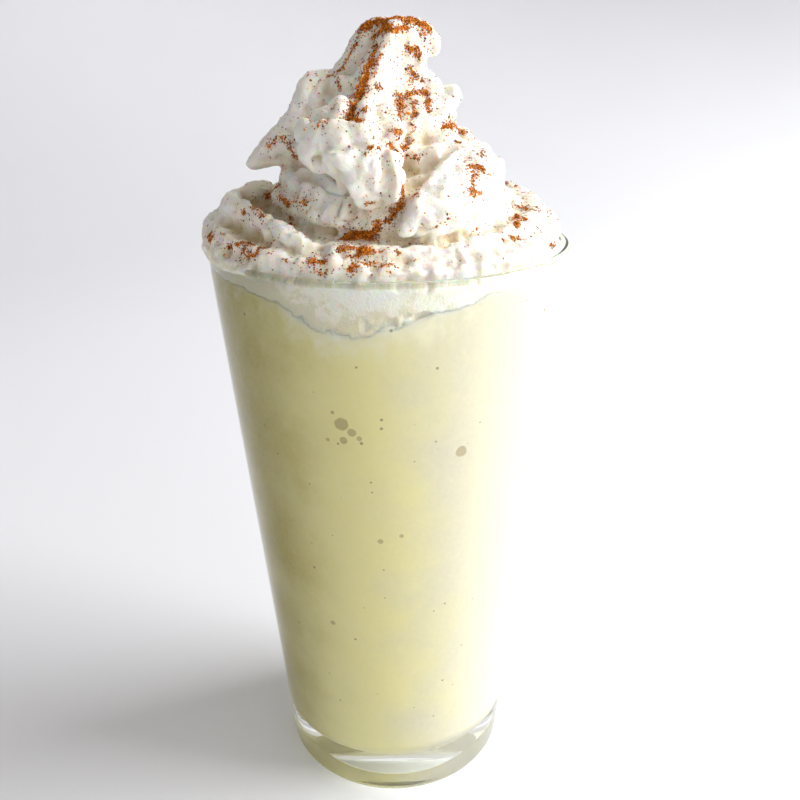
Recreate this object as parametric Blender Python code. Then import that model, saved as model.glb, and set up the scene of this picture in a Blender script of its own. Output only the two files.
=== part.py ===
"""A milkshake in a tall conical glass, under a swirl of whipped cream dusted with cinnamon.

The glass stands on Z = 0 with its axis on Z. The side that was modelled from sight faces -Y.
"""

import math

import bmesh
import bpy
import numpy as np
from mathutils import Euler, Matrix, Vector, noise
from mathutils.bvhtree import BVHTree

MM = 0.001
GAP = 0.3 * MM  # left between pieces that touch

# The glass
GLASS_HEIGHT = 150 * MM
RIM_RADIUS = 44 * MM
FOOT_RADIUS = 31 * MM
FOOT_EDGE = 3 * MM
DOME_RADIUS = 17 * MM  # the hollow under the foot, inside the flat ring it stands on
DOME_HEIGHT = 7 * MM
WALL_AT_RIM = 2.4 * MM
WALL_AT_FLOOR = 3.2 * MM
FLOOR_THICKNESS = 12 * MM
INNER_CORNER = 6 * MM
GLASS_SEGMENTS = 64
LIP_STEPS = 4
CORNER_STEPS = 4
EDGE_STEPS = 3
DOME_STEPS = 5

# The drink's top, which the cream has sunk into
DRINK_TOP = 138 * MM  # under the middle of the cream
DRINK_AT_WALL = 147 * MM  # where it climbs the wall
CLIMB_POWER = 4  # how near the wall it starts to climb
# Where cream lies against the wall instead: towards, in degrees, depth in mm, width before and after in degrees
CREAM_DIPS = [(250, 9.5, 6, 32), (20, 5.0, 18, 14), (95, 7.5, 20, 26), (160, 4.5, 10, 16)]
TOP_RINGS = 6
TOP_GAP = 0.5 * MM  # up to the cream, more than GAP because the top is steep in places

# The cream, in mm: a fluted rope that winds up from the left, by the front to the right.
# Quarter turns along it: distance of its middle from the axis, height, its own radius
ROPE_COURSE = [
    (36.5, 152.0, 8.0),
    (34.0, 146.5, 8.2),
    (32.5, 151.0, 8.2),
    (31.5, 154.0, 9.0),
    (19.5, 161.0, 7.5),
    (21.3, 159.5, 8.2),
    (19.5, 163.0, 8.0),
    (18.5, 168.0, 8.0),
    (16.5, 171.0, 8.0),
    (11.5, 172.5, 7.0),
    (9.0, 176.5, 7.0),
    (7.5, 180.0, 7.0),
    (9.5, 181.0, 6.5),
    (5.0, 184.0, 5.0),
]
START_ANGLE = math.radians(180)
ROPE_STEPS = 150
ROPE_SIDES = 24
FLUTES = 8
FLUTE_DEPTH = 0.07
FLUTE_TWISTS = 3.0

# The fill under the rope, as radius and height
CORE_PROFILE = [(40.5, 143), (38, 149), (32, 154), (20, 159), (15, 167), (11, 176), (7, 186)]
CORE_BOTTOM = 130
CORE_SIDES = 40

# The peak, a fin: height, middle x, middle y and radius of each level
PEAK_LEVELS = [
    (170.0, -3.0, -2.0, 11.5),
    (178.0, -2.5, -2.0, 9.5),
    (184.0, -1.5, -1.0, 7.6),
    (189.0, -0.5, -0.5, 6.4),
    (193.0, 1.3, 0.0, 5.8),
    (196.5, 2.8, 0.0, 5.2),
    (198.6, 3.0, 0.0, 3.8),
    (199.6, 3.0, 0.0, 1.5),
]
# Its edges: direction in degrees, how far each stands out as a share of the radius, width in degrees
PEAK_EDGES = [(248, 0.75, 20), (175, 0.85, 22), (350, 0.50, 26), (60, 0.40, 36)]
PEAK_STEPS = 24
PEAK_SIDES = 48

# Folds laid on the rope: rows of x, y, z and radius
FOLDS = {
    "scroll skirt": [
        (-33, 4, 156.5, 3.5),
        (-36.5, -4, 155, 4.0),
        (-35, -13, 153.5, 4.0),
        (-28.5, -22.5, 152, 4.0),
        (-21, -30, 150.5, 4.0),
    ],
    "hollow floor": [(-22, 12, 155, 5.0), (-28, 4, 153, 5.0), (-28, -6, 151.5, 4.0)],
    "left rim": [
        (-34, 14, 152, 4.5),
        (-38.8, 5, 152.6, 5.4),
        (-39.3, -5, 152.2, 5.6),
        (-35.5, -15, 151, 6.0),
        (-31, -23, 150, 5.0),
    ],
    "left of the drape": [
        (-12, -10, 179, 3.0),
        (-15, -16, 176.5, 4.5),
        (-14.2, -21, 173.8, 5.0),
        (-12, -24.5, 171.5, 4.6),
    ],
    "middle of the drape": [
        (-10, -12, 179.5, 4.5),
        (-10.5, -18, 177, 5.8),
        (-9.8, -23.5, 173, 5.5),
        (-8, -27, 169.5, 4.2),
    ],
    "tip of the drape": [
        (-6, -12, 179, 4.0),
        (-6, -19, 176, 6.0),
        (-5, -24.5, 171, 6.0),
        (-4, -28, 166, 4.8),
        (-3.5, -29.5, 162.8, 2.6),
    ],
    "right of the drape": [
        (0, -13, 181, 2.5),
        (0, -19, 178, 3.2),
        (0.8, -24.5, 173, 3.0),
        (1, -27.5, 168, 3.0),
        (-0.5, -29.5, 163.5, 2.2),
    ],
    "right mass": [
        (4, -30, 157, 4.0),
        (9, -27, 160.5, 6.0),
        (14, -21, 163.5, 6.5),
        (18, -13, 166, 6.5),
        (19, -4, 168, 5.5),
        (16, 4, 171, 4.0),
    ],
    "right ridge": [
        (2.5, -34, 157, 1.8),
        (6, -30.5, 161.5, 2.2),
        (10, -25.5, 166.5, 2.2),
        (14.5, -17, 170.5, 2.2),
        (17, -8, 173, 2.0),
    ],
    "left wisp": [(-16, -4, 174, 6.0), (-23, -3, 172.5, 5.0), (-28.5, -2, 170, 3.2), (-33, -2, 167.8, 1.0)],
    "peak lobe": [(5, 0, 197, 2.6), (8.8, 0, 195.2, 2.5), (10.2, 0, 193.2, 2.0), (9.8, 0, 190.8, 1.2)],
    "right shoulder": [(7, -1, 187, 2.6), (8.6, -1, 185, 3.4), (9.5, -1, 180, 4.5)],
    "right wisp": [(8, -1, 179, 4.5), (12.5, -1, 181, 3.4), (16.2, -1, 184.4, 1.6)],
    "left shoulder": [(-11, 2, 184, 4.0), (-16, 0, 184.5, 3.8), (-18, -3, 180, 4.5), (-20.5, -4, 174, 5.5)],
}
SCROLL_EDGE = [
    (-27, 8, 158.5, 1.6),
    (-32, 4, 160.2, 2.0),
    (-36, -3, 159.0, 2.3),
    (-35.5, -12, 158.5, 2.4),
    (-29.5, -21, 156.8, 2.4),
    (-22.5, -28.5, 154.8, 2.4),
    (-12, -35, 151.5, 2.0),
]
SCROLL_STANDS = 1.6  # its height over its thickness
FOLD_STEPS = 30
FOLD_SIDES = 14
# Stepped ends down the right side, as x, z and radius
LEDGES = [(20.0, 173.0, 2.6), (23.0, 166.5, 2.6), (27.0, 162.8, 2.6), (31.5, 157.8, 3.0), (36.5, 153.5, 3.0)]
LEDGE_WIDTH = 3  # times a ledge's radius, to each side of its middle

OVERHANG_CUT = 6 * MM  # how far past the rim the cream is cut off level with the lip
CREAM_VOXEL = 1.3 * MM
CREAM_TRIANGLES = 4700
RUFFLE_DEPTH = 0.7 * MM
RUFFLE_SIZE = 5.55 * MM

# Clumps of cinnamon on the cream: middle of each patch in mm, its spread and how many it holds
CLUMP_PATCHES = [
    (3, -1, 199, 5.5, 9),
    (-5, -8, 191, 2.5, 5),
    (-7.5, -14, 184, 2.5, 5),
    (5, -10, 183, 4.0, 6),
    (5, -14, 176, 3.0, 4),
    (18, -6, 174, 4.0, 5),
    (26, -8, 166, 4.0, 5),
    (33, -12, 158, 4.0, 5),
    (-5, -34, 157, 2.5, 4),
    (1, -32, 161, 2.0, 3),
    (-30, -22, 155, 4.0, 5),
    (-16, -36, 153, 3.5, 4),
    (-5, -40, 153.5, 4.5, 5),
    (-30, -6, 160, 3.5, 4),
    (-28, -4, 171, 3.0, 3),
    (12, 22, 170, 8.0, 5),
    (-14, 26, 162, 8.0, 5),
]
CLUMP_RADIUS = 0.85 * MM
CLUMP_HEIGHT = 0.7  # of its radius
CLUMP_SEED = 20
CAST_FROM = 60 * MM
CAST_SLOPE = 0.7  # upwards, for one outwards


def material(name, color, roughness, transmission=0.0):
    """A plain material with this colour and roughness."""
    mat = bpy.data.materials.new(name)
    mat.use_nodes = True
    shader = mat.node_tree.nodes["Principled BSDF"]
    shader.inputs["Base Color"].default_value = (*color, 1.0)
    shader.inputs["Roughness"].default_value = roughness
    shader.inputs["Metallic"].default_value = 0.0
    shader.inputs["Transmission Weight"].default_value = transmission
    mat.diffuse_color = (*color, 1.0)
    return mat


def add_object(name, verts, faces, mat):
    """A new mesh object in the scene."""
    mesh = bpy.data.meshes.new(name)
    mesh.from_pydata([tuple(v) for v in verts], [], [tuple(f) for f in faces])
    mesh.materials.append(mat)
    obj = bpy.data.objects.new(name, mesh)
    bpy.context.scene.collection.objects.link(obj)
    return obj


def turned(rings):
    """Vertices and faces of a closed body from rings of points, each ring seen from above anticlockwise.

    The first and the last entry are single points that close its ends.
    """
    first, *loops, last = rings
    sides = len(loops[0])
    verts = [first] + [p for loop in loops for p in loop] + [last]
    faces = []
    for s in range(sides):
        t = (s + 1) % sides
        faces.append((0, 1 + t, 1 + s))
        for k in range(len(loops) - 1):
            low = 1 + k * sides
            high = low + sides
            faces.append((low + s, low + t, high + t, high + s))
        end = 1 + (len(loops) - 1) * sides
        faces.append((end + s, end + t, len(verts) - 1))
    return verts, faces


def circle(radius, height, sides):
    """A level ring about the axis."""
    turns = [2 * math.pi * k / sides for k in range(sides)]
    return [(radius * math.cos(a), radius * math.sin(a), height) for a in turns]


def outer_radius(z):
    """The glass's outside at a height."""
    return FOOT_RADIUS + (RIM_RADIUS - FOOT_RADIUS) * z / GLASS_HEIGHT


def inner_radius(z):
    """The glass's inside at a height above its floor's rounded corner."""
    share = (z - FLOOR_THICKNESS) / (GLASS_HEIGHT - FLOOR_THICKNESS)
    return outer_radius(z) - (WALL_AT_FLOOR + (WALL_AT_RIM - WALL_AT_FLOOR) * share)


def corner_points(inset):
    """Points of the cavity's rounded bottom corner, from the floor up to the wall, drawn in by inset."""
    middle_z = FLOOR_THICKNESS + INNER_CORNER
    middle_r = inner_radius(middle_z) - INNER_CORNER
    radius = INNER_CORNER - inset
    turns = [0.5 * math.pi * k / CORNER_STEPS for k in range(CORNER_STEPS + 1)]
    return [(middle_r + radius * math.sin(a), middle_z - radius * math.cos(a)) for a in turns]


def wall_line(turn):
    """Height at which the drink's top meets the wall in this direction."""
    height = DRINK_AT_WALL
    for towards, depth, before, after in CREAM_DIPS:
        off = (math.degrees(turn) - towards + 180) % 360 - 180
        height -= depth * MM * math.exp(-((off / (after if off > 0 else before)) ** 2))
    return height


def top_ring(reach, lift):
    """A ring on the drink's top, at a share of the way from its middle to the wall, raised by lift."""
    ring = []
    for k in range(GLASS_SEGMENTS):
        turn = 2 * math.pi * k / GLASS_SEGMENTS
        line = wall_line(turn)
        radius = reach * (inner_radius(line) - GAP)
        height = DRINK_TOP + (line - DRINK_TOP) * reach**CLIMB_POWER
        ring.append((radius * math.cos(turn), radius * math.sin(turn), height + lift))
    return ring


def make_glass():
    """A straight-sided conical glass with a thick floor, a dome under it and a rounded lip."""
    lip_radius = WALL_AT_RIM / 2
    lip_middle = RIM_RADIUS - lip_radius
    lip_z = GLASS_HEIGHT - lip_radius
    lip_turns = [math.pi * k / LIP_STEPS for k in range(LIP_STEPS + 1)]
    foot_middle = outer_radius(FOOT_EDGE) - FOOT_EDGE
    foot_turns = [0.5 * math.pi * k / EDGE_STEPS for k in range(EDGE_STEPS + 1)]
    profile = []
    for k in range(1, DOME_STEPS + 1):
        share = k / DOME_STEPS
        profile.append((DOME_RADIUS * share, DOME_HEIGHT * (1 - share**2)))
    profile += [(foot_middle + FOOT_EDGE * math.sin(a), FOOT_EDGE * (1 - math.cos(a))) for a in foot_turns]
    profile += [(lip_middle + lip_radius * math.cos(a), lip_z + lip_radius * math.sin(a)) for a in lip_turns]
    profile += reversed(corner_points(0.0))
    rings = [(0.0, 0.0, DOME_HEIGHT)]
    rings += [circle(r, z, GLASS_SEGMENTS) for r, z in profile]
    rings += [(0.0, 0.0, FLOOR_THICKNESS)]
    glass = add_object("glass", *turned(rings), material("clear glass", (0.93, 0.96, 0.93), 0.03, 1.0))
    glass.data.shade_smooth()
    glass.data.set_sharp_from_angle(angle=math.radians(35))
    return glass


def make_milkshake():
    """The drink, a solid that fills the glass up to the cream."""
    rings = [(0.0, 0.0, FLOOR_THICKNESS + GAP)]
    rings += [circle(r, z, GLASS_SEGMENTS) for r, z in corner_points(GAP)]
    rings += [top_ring(k / TOP_RINGS, 0.0) for k in range(TOP_RINGS, 0, -1)]
    rings += [(0.0, 0.0, DRINK_TOP)]
    drink = add_object("milkshake", *turned(rings), material("milkshake", (0.72, 0.68, 0.42), 0.35))
    drink.data.shade_smooth()
    drink.data.set_sharp_from_angle(angle=math.radians(35))
    return drink


def along(course, steps):
    """Evenly stepped points on a smooth curve through a row of number groups."""
    knots = np.array(course, dtype=float)
    knots = np.vstack([2 * knots[0] - knots[1], knots, 2 * knots[-1] - knots[-2]])
    places = np.linspace(0.0, len(course) - 1, steps)
    index = np.minimum(places.astype(int), len(course) - 2)
    t = (places - index)[:, None]
    before, start, end, after = (knots[index + k] for k in range(4))
    return 0.5 * (
        2 * start
        + (end - before) * t
        + (2 * before - 5 * start + 4 * end - after) * t**2
        + (3 * start - before - 3 * end + after) * t**3
    )


def rope(points, radii, sides, stands=1.0, flutes=0, depth=0.0, twists=0.0):
    """Vertices and faces of a fluted rope along points in mm, with rounded ends.

    It stands this many times as tall as its thickness, and its flutes make this many turns about it.
    """
    count = len(points)
    ahead = np.gradient(points, axis=0)
    ahead /= np.linalg.norm(ahead, axis=1)[:, None]
    across = np.cross(ahead, (0.0, 0.0, 1.0))
    across /= np.linalg.norm(across, axis=1)[:, None]
    upward = np.cross(across, ahead)
    share = np.linspace(0.0, 1.0, count)
    ends = np.sqrt(np.clip(np.minimum(share, 1 - share) * count / 5, 0.02, 1.0))
    turns = np.linspace(0.0, 2 * np.pi, sides, endpoint=False)
    wave = 1 + depth * np.cos(flutes * turns[None, :] + 2 * np.pi * twists * share[:, None])
    reach = (radii * ends)[:, None] * wave
    rings = (
        points[:, None, :]
        + (reach * np.cos(turns))[:, :, None] * across[:, None, :]
        + (reach * stands * np.sin(turns))[:, :, None] * upward[:, None, :]
    )
    return turned([points[0] * MM, *(rings[:, ::-1] * MM), points[-1] * MM])


def fold(course, stands=1.0):
    """A smooth rope through a row of (x, y, z, radius) in mm."""
    path = along(course, FOLD_STEPS)
    return rope(path[:, :3], path[:, 3], FOLD_SIDES, stands)


def main_rope():
    """The rope that winds up from the rim to the peak."""
    path = along(ROPE_COURSE, ROPE_STEPS)
    turn = START_ANGLE + 0.5 * np.pi * np.linspace(0.0, len(ROPE_COURSE) - 1, ROPE_STEPS)
    points = np.stack([path[:, 0] * np.cos(turn), path[:, 0] * np.sin(turn), path[:, 1]], axis=1)
    return rope(points, path[:, 2], ROPE_SIDES, 1.0, FLUTES, FLUTE_DEPTH, FLUTE_TWISTS)


def core():
    """The fill under the rope, down into the drink."""
    low = CORE_BOTTOM * MM
    rings = [(0.0, 0.0, low), circle(inner_radius(DRINK_TOP), low, CORE_SIDES)]
    rings += [circle(r * MM, z * MM, CORE_SIDES) for r, z in CORE_PROFILE]
    rings += [(0.0, 0.0, (CORE_PROFILE[-1][1] + 1) * MM)]
    return turned(rings)


def peak():
    """The fin at the top, each level a circle drawn out towards its edges."""
    rings = []
    levels = along(PEAK_LEVELS, PEAK_STEPS)
    for z, mid_x, mid_y, radius in levels:
        ring = []
        for k in range(PEAK_SIDES):
            turn = 2 * math.pi * k / PEAK_SIDES
            reach = radius
            for towards, height, width in PEAK_EDGES:
                off = (math.degrees(turn) - towards + 180) % 360 - 180
                reach += radius * height * math.exp(-((off / width) ** 2))
            ring.append((mid_x + reach * math.cos(turn), mid_y + reach * math.sin(turn), z))
        rings.append(np.array(ring) * MM)
    ends = [np.array((x, y, z)) * MM for z, x, y, _ in (levels[0], levels[-1])]
    return turned([ends[0], *rings, ends[1]])


def ledges():
    """Short stepped ends of the rope down the right side."""
    for x, z, radius in LEDGES:
        run = LEDGE_WIDTH * radius
        yield fold([(x - radius, -run, z - 1, radius), (x - radius, 0, z, radius), (x - radius, run, z - 1, radius)])


def keep_largest(obj):
    """Leaves only the largest connected shell of a mesh, which also removes shells sealed inside it."""
    work = bmesh.new()
    work.from_mesh(obj.data)
    left = set(work.verts)
    shells = []
    while left:
        shell = {left.pop()}
        edge = list(shell)
        while edge:
            vert = edge.pop()
            near = {e.other_vert(vert) for e in vert.link_edges} - shell
            shell |= near
            edge.extend(near)
        left -= shell
        shells.append(shell)
    shells.sort(key=len)
    bmesh.ops.delete(work, geom=[v for shell in shells[:-1] for v in shell], context="VERTS")
    work.to_mesh(obj.data)
    work.free()


def apply_modifiers(obj):
    """Replaces an object's mesh with its evaluated one."""
    bpy.context.view_layer.update()
    seen = obj.evaluated_get(bpy.context.evaluated_depsgraph_get())
    mesh = bpy.data.meshes.new_from_object(seen)
    obj.modifiers.clear()
    obj.data = mesh


def make_guide(name, verts, faces, mat):
    """A cutter that is no part of the model."""
    guide = add_object(name, verts, faces, mat)
    guide.hide_render = True
    guide.display_type = "WIRE"
    return guide


def keep_out():
    """What the cream may not enter: the glass, its drink and what lies below its lip, with a gap round them."""
    lip_z = GLASS_HEIGHT - WALL_AT_RIM / 2
    lip_middle = RIM_RADIUS - WALL_AT_RIM / 2
    lip_radius = WALL_AT_RIM / 2 + GAP
    far = RIM_RADIUS + OVERHANG_CUT
    low = CORE_BOTTOM * MM - OVERHANG_CUT
    rings = [(0.0, 0.0, low), circle(far, low, GLASS_SEGMENTS), circle(far, lip_z, GLASS_SEGMENTS)]
    for k in range(LIP_STEPS + 1):
        a = math.pi * k / LIP_STEPS
        rings.append(circle(lip_middle + lip_radius * math.cos(a), lip_z + lip_radius * math.sin(a), GLASS_SEGMENTS))
    rings += [top_ring(k / TOP_RINGS, TOP_GAP) for k in range(TOP_RINGS, 0, -1)]
    rings += [(0.0, 0.0, DRINK_TOP + TOP_GAP)]
    return turned(rings)


def ruffle(obj):
    """Uneven dents and bumps over the cream."""
    mesh = obj.data
    for vert in mesh.vertices:
        lump = noise.noise(vert.co / RUFFLE_SIZE) + 0.5 * noise.noise(vert.co / RUFFLE_SIZE * 2.3)
        vert.co += vert.normal * lump * RUFFLE_DEPTH
    mesh.update()


def make_cream():
    """Whipped cream: the core, rope, peak and folds run together, then cut round the glass and the drink."""
    white = material("whipped cream", (0.93, 0.90, 0.84), 0.6)
    bodies = [core(), main_rope(), peak(), *ledges(), fold(SCROLL_EDGE, SCROLL_STANDS)]
    bodies += [fold(course) for course in FOLDS.values()]
    verts = []
    faces = []
    for body_verts, body_faces in bodies:
        faces += [tuple(i + len(verts) for i in f) for f in body_faces]
        verts += list(body_verts)
    cream = add_object("whipped_cream", verts, faces, white)
    remesh = cream.modifiers.new("run together", "REMESH")
    remesh.mode = "VOXEL"
    remesh.voxel_size = CREAM_VOXEL
    apply_modifiers(cream)
    keep_largest(cream)
    ruffle(cream)
    thin = cream.modifiers.new("fewer faces", "DECIMATE")
    thin.ratio = CREAM_TRIANGLES / (2 * len(cream.data.polygons))
    thin.use_collapse_triangulate = True
    apply_modifiers(cream)
    cutter = make_guide("keep out", *keep_out(), white)
    cut = cream.modifiers.new("round the glass", "BOOLEAN")
    cut.operation = "DIFFERENCE"
    cut.object = cutter
    apply_modifiers(cream)
    bpy.data.objects.remove(cutter)
    keep_largest(cream)
    return cream


def clump_bodies(cream, mat):
    """Small flat clumps of cinnamon, half sunk in the cream where the dusting is thick."""
    draw = np.random.default_rng(CLUMP_SEED)
    tree = BVHTree.FromObject(cream, bpy.context.evaluated_depsgraph_get())
    clumps = bpy.data.collections.new("clumps")
    bpy.context.scene.collection.children.link(clumps)
    for x, y, z, spread, count in CLUMP_PATCHES:
        outward = (Vector((x, y, 0.0)).normalized() + Vector((0.0, 0.0, CAST_SLOPE))).normalized()
        for _ in range(count):
            aim = (Vector((x, y, z)) + Vector(draw.uniform(-spread, spread, 3))) * MM
            place, normal, _, _ = tree.ray_cast(aim + outward * CAST_FROM, -outward)
            size = CLUMP_RADIUS * draw.uniform(0.7, 1.3)
            spin = Euler((0.0, 0.0, draw.uniform(0, 2 * math.pi)))
            if place is None or place.z < GLASS_HEIGHT + 2 * size:
                continue
            work = bmesh.new()
            bmesh.ops.create_icosphere(work, subdivisions=1, radius=size)
            flat = Matrix.Diagonal((1.0, draw.uniform(0.6, 0.9), CLUMP_HEIGHT, 1.0))
            lay = normal.to_track_quat("Z", "Y").to_matrix().to_4x4()
            work.transform(Matrix.Translation(place) @ lay @ spin.to_matrix().to_4x4() @ flat)
            mesh = bpy.data.meshes.new("clump")
            mesh.materials.append(mat)
            work.to_mesh(mesh)
            work.free()
            clumps.objects.link(bpy.data.objects.new("clump", mesh))
    return clumps


def dust(cream):
    """Fuses the clumps to the cream."""
    spice = material("cinnamon", (0.35, 0.13, 0.04), 0.9)
    clumps = clump_bodies(cream, spice)
    fuse = cream.modifiers.new("cinnamon", "BOOLEAN")
    fuse.operation = "UNION"
    fuse.solver = "EXACT"
    fuse.operand_type = "COLLECTION"
    fuse.collection = clumps
    apply_modifiers(cream)
    for clump in list(clumps.objects):
        bpy.data.objects.remove(clump)
    bpy.data.collections.remove(clumps)
    keep_largest(cream)


def main():
    for old in list(bpy.data.objects):
        bpy.data.objects.remove(old)
    make_glass()
    make_milkshake()
    cream = make_cream()
    dust(cream)
    cream.data.shade_smooth()


main()
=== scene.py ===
"""A milkshake in a tall conical glass, under a swirl of whipped cream dusted with cinnamon.

Laid out as an add-on: the sizes and colours are properties, and each piece has its operator.
Shapes are worked out in millimetres, about the glass's axis, and put into the meshes in metres.
"""

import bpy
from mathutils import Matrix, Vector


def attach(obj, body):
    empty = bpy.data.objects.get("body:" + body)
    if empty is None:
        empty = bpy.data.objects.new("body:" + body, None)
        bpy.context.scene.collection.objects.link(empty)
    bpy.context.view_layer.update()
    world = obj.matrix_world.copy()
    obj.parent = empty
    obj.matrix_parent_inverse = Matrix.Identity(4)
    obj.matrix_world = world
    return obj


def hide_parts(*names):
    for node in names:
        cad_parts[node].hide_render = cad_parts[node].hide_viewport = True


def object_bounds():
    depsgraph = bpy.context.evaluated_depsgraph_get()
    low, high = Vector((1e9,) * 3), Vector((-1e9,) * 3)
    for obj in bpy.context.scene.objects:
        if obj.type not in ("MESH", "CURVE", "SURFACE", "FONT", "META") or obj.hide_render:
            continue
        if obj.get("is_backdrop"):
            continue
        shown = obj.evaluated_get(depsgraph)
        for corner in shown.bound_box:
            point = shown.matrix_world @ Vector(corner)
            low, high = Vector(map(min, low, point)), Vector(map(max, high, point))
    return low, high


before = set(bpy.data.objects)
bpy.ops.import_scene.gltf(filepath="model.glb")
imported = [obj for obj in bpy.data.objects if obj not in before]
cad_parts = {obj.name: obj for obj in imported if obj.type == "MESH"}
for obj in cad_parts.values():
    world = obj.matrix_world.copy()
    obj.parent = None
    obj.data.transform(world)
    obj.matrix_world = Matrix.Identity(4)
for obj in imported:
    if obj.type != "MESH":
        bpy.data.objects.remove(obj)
cad_low, cad_high = (list(corner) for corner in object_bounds())

import itertools
import math

import bpy
import numpy as np
from bpy.props import FloatProperty, FloatVectorProperty, IntProperty, PointerProperty
from mathutils import Matrix, Vector
from mathutils.bvhtree import BVHTree

bl_info = {
    "name": "Milkshake with whipped cream",
    "version": (1, 0, 0),
    "blender": (4, 5, 0),
    "location": "3D View > Sidebar > Milkshake",
    "description": "A glass of milkshake under whipped cream and cinnamon",
    "category": "Add Mesh",
}

MM = 0.001
GLASS_INDEX = 1.5  # of refraction

# The drink's top and the cream's forms repeat the frame's, in mm
DRINK_TOP = 138.0
DRINK_AT_WALL = 147.0
CLIMB_POWER = 4
CREAM_DIPS = [(256, 8.5, 20, 30), (20, 5.0, 18, 14), (95, 7.5, 20, 26), (160, 4.5, 10, 16)]
FROTH_DEPTH = 9.0  # how far down the wall froth shows
# Waves in the line where drink meets cream: how many round the glass, half height in mm and start in radians
LINE_WAVES = [(11, 0.35, 0), (23, 0.28, 1), (47, 0.21, 2), (83, 0.14, 0)]
INTO_WALL = 0.06  # how far the contents reach into the wall, so that no air shows between them

# Quarter turns of the wound rope from the left: distance from the axis, height, radius
ROPE_COURSE = [
    (36.5, 152.0, 8.0),
    (34.0, 146.5, 8.2),
    (32.5, 151.0, 8.2),
    (31.5, 154.0, 9.0),
    (19.5, 161.0, 7.5),
    (21.3, 159.5, 8.2),
    (19.5, 163.0, 8.0),
    (18.5, 168.0, 8.0),
    (16.5, 171.0, 8.0),
    (11.5, 172.5, 7.0),
    (9.0, 176.5, 7.0),
    (7.5, 180.0, 7.0),
    (9.5, 181.0, 6.5),
    (5.0, 184.0, 5.0),
]
ROPE_STEPS = 420
CORE_PROFILE = [(40.5, 143), (38, 149), (32, 154), (20, 159), (15, 167), (11, 176), (7, 186)]
CORE_BOTTOM = 136.0

# The peak, a fin: height, middle x, middle y and radius of each level
PEAK_LEVELS = [
    (170.0, -3.0, -2.0, 11.5),
    (178.0, -2.5, -2.0, 9.5),
    (184.0, -1.5, -1.0, 7.6),
    (189.0, -0.5, -0.5, 6.4),
    (193.0, 1.3, 0.0, 5.8),
    (196.5, 2.8, 0.0, 5.2),
    (198.4, 3.0, 0.0, 3.8),
    (199.3, 3.0, 0.0, 1.5),
]
# Its edges: towards, in degrees, how far each stands out as a share of the radius, width in degrees
PEAK_EDGES = [(248, 0.75, 20), (175, 0.85, 22), (350, 0.50, 26), (60, 0.40, 36)]

# Folds laid on the rope: rows of x, y, z and radius
FOLDS = {
    "scroll skirt": [
        (-33, 4, 156.5, 3.5),
        (-36.5, -4, 155, 4.0),
        (-35, -13, 153.5, 4.0),
        (-28.5, -22.5, 152, 4.0),
        (-21, -30, 150.5, 4.0),
    ],
    "hollow floor": [(-22, 12, 155, 5.0), (-28, 4, 153, 5.0), (-28, -6, 151.5, 4.0)],
    "left rim": [
        (-34, 14, 152, 4.5),
        (-38.8, 5, 152.6, 4.9),
        (-39.3, -5, 152.2, 5.0),
        (-35.5, -15, 151, 6.0),
        (-31, -23, 150, 5.0),
    ],
    "left of the drape": [
        (-12, -10, 179, 3.0),
        (-15, -16, 176.5, 4.5),
        (-14.2, -21, 173.8, 5.0),
        (-12, -24.5, 171.5, 4.6),
    ],
    "middle of the drape": [
        (-10, -12, 179.5, 4.5),
        (-10.5, -18, 177, 5.8),
        (-9.8, -23.5, 173, 5.5),
        (-8, -27, 169.5, 4.2),
    ],
    "tip of the drape": [
        (-6, -12, 179, 4.0),
        (-6, -19, 176, 6.0),
        (-5, -24.5, 171, 6.0),
        (-4, -28, 166, 4.8),
        (-3.5, -29.5, 162.8, 2.6),
    ],
    "right of the drape": [
        (0, -13, 181, 2.5),
        (0, -19, 178, 3.2),
        (0.8, -24.5, 173, 3.0),
        (1, -27.5, 168, 3.0),
        (-0.5, -29.5, 163.5, 2.2),
    ],
    "curl on the drape": [
        (-13.5, -25.5, 174.3, 0.8),
        (-11.9, -27.8, 172.2, 1.3),
        (-7.8, -29.5, 171, 1.3),
        (-3.7, -28, 173.7, 0.8),
    ],
    "right mass": [
        (4, -30, 157, 4.0),
        (9, -27, 160.5, 6.0),
        (14, -21, 163.5, 6.5),
        (18, -13, 166, 6.5),
        (19, -4, 168, 5.5),
        (16, 4, 171, 4.0),
    ],
    "right ridge": [
        (2.5, -34, 157, 1.8),
        (6, -30.5, 161.5, 2.2),
        (10, -25.5, 166.5, 2.2),
        (14.5, -17, 170.5, 2.2),
        (17, -8, 173, 2.0),
    ],
    "right fill": [
        (12, -25.5, 155.5, 2.6),
        (17, -21, 156, 3.6),
        (22, -15.5, 156.5, 3.8),
        (27, -10, 157, 3.6),
    ],
    "valley fill": [(8, -15.5, 172, 3.0), (11.5, -16, 171, 3.2)],
    "valley floor": [(5, -15, 168, 4.5), (11, -13, 171, 4.5), (14, -8, 173, 3.5)],
    "left wisp": [(-16, -4, 174, 6.0), (-23, -3, 172.5, 5.0), (-28.5, -2, 170, 3.2), (-33, -2, 167.8, 1.0)],
    "peak lobe": [(5, 0, 197, 2.6), (8.8, 0, 195.2, 2.5), (10.2, 0, 193.2, 2.0), (9.8, 0, 190.8, 1.2)],
    "right shoulder": [(7, -1, 187, 2.6), (8.6, -1, 185, 3.4), (9.5, -1, 180, 4.5)],
    "right wisp": [(8, -1, 179, 4.5), (12.5, -1, 181, 3.4), (16.2, -1, 184.4, 1.6)],
    "left shoulder": [(-11, 2, 184, 4.0), (-16, 0, 184.5, 3.8), (-18, -3, 180, 4.5), (-20.5, -4, 174, 5.5)],
}
SCROLL_EDGE = [
    (-27, 8, 158.5, 1.6),
    (-32, 4, 160.2, 2.0),
    (-36, -3, 159.0, 2.3),
    (-35.5, -12, 158.5, 2.4),
    (-29.5, -21, 156.8, 2.4),
    (-22.5, -28.5, 154.8, 2.4),
    (-12, -35, 151.5, 2.0),
]
SCROLL_STANDS = 1.6
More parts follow.
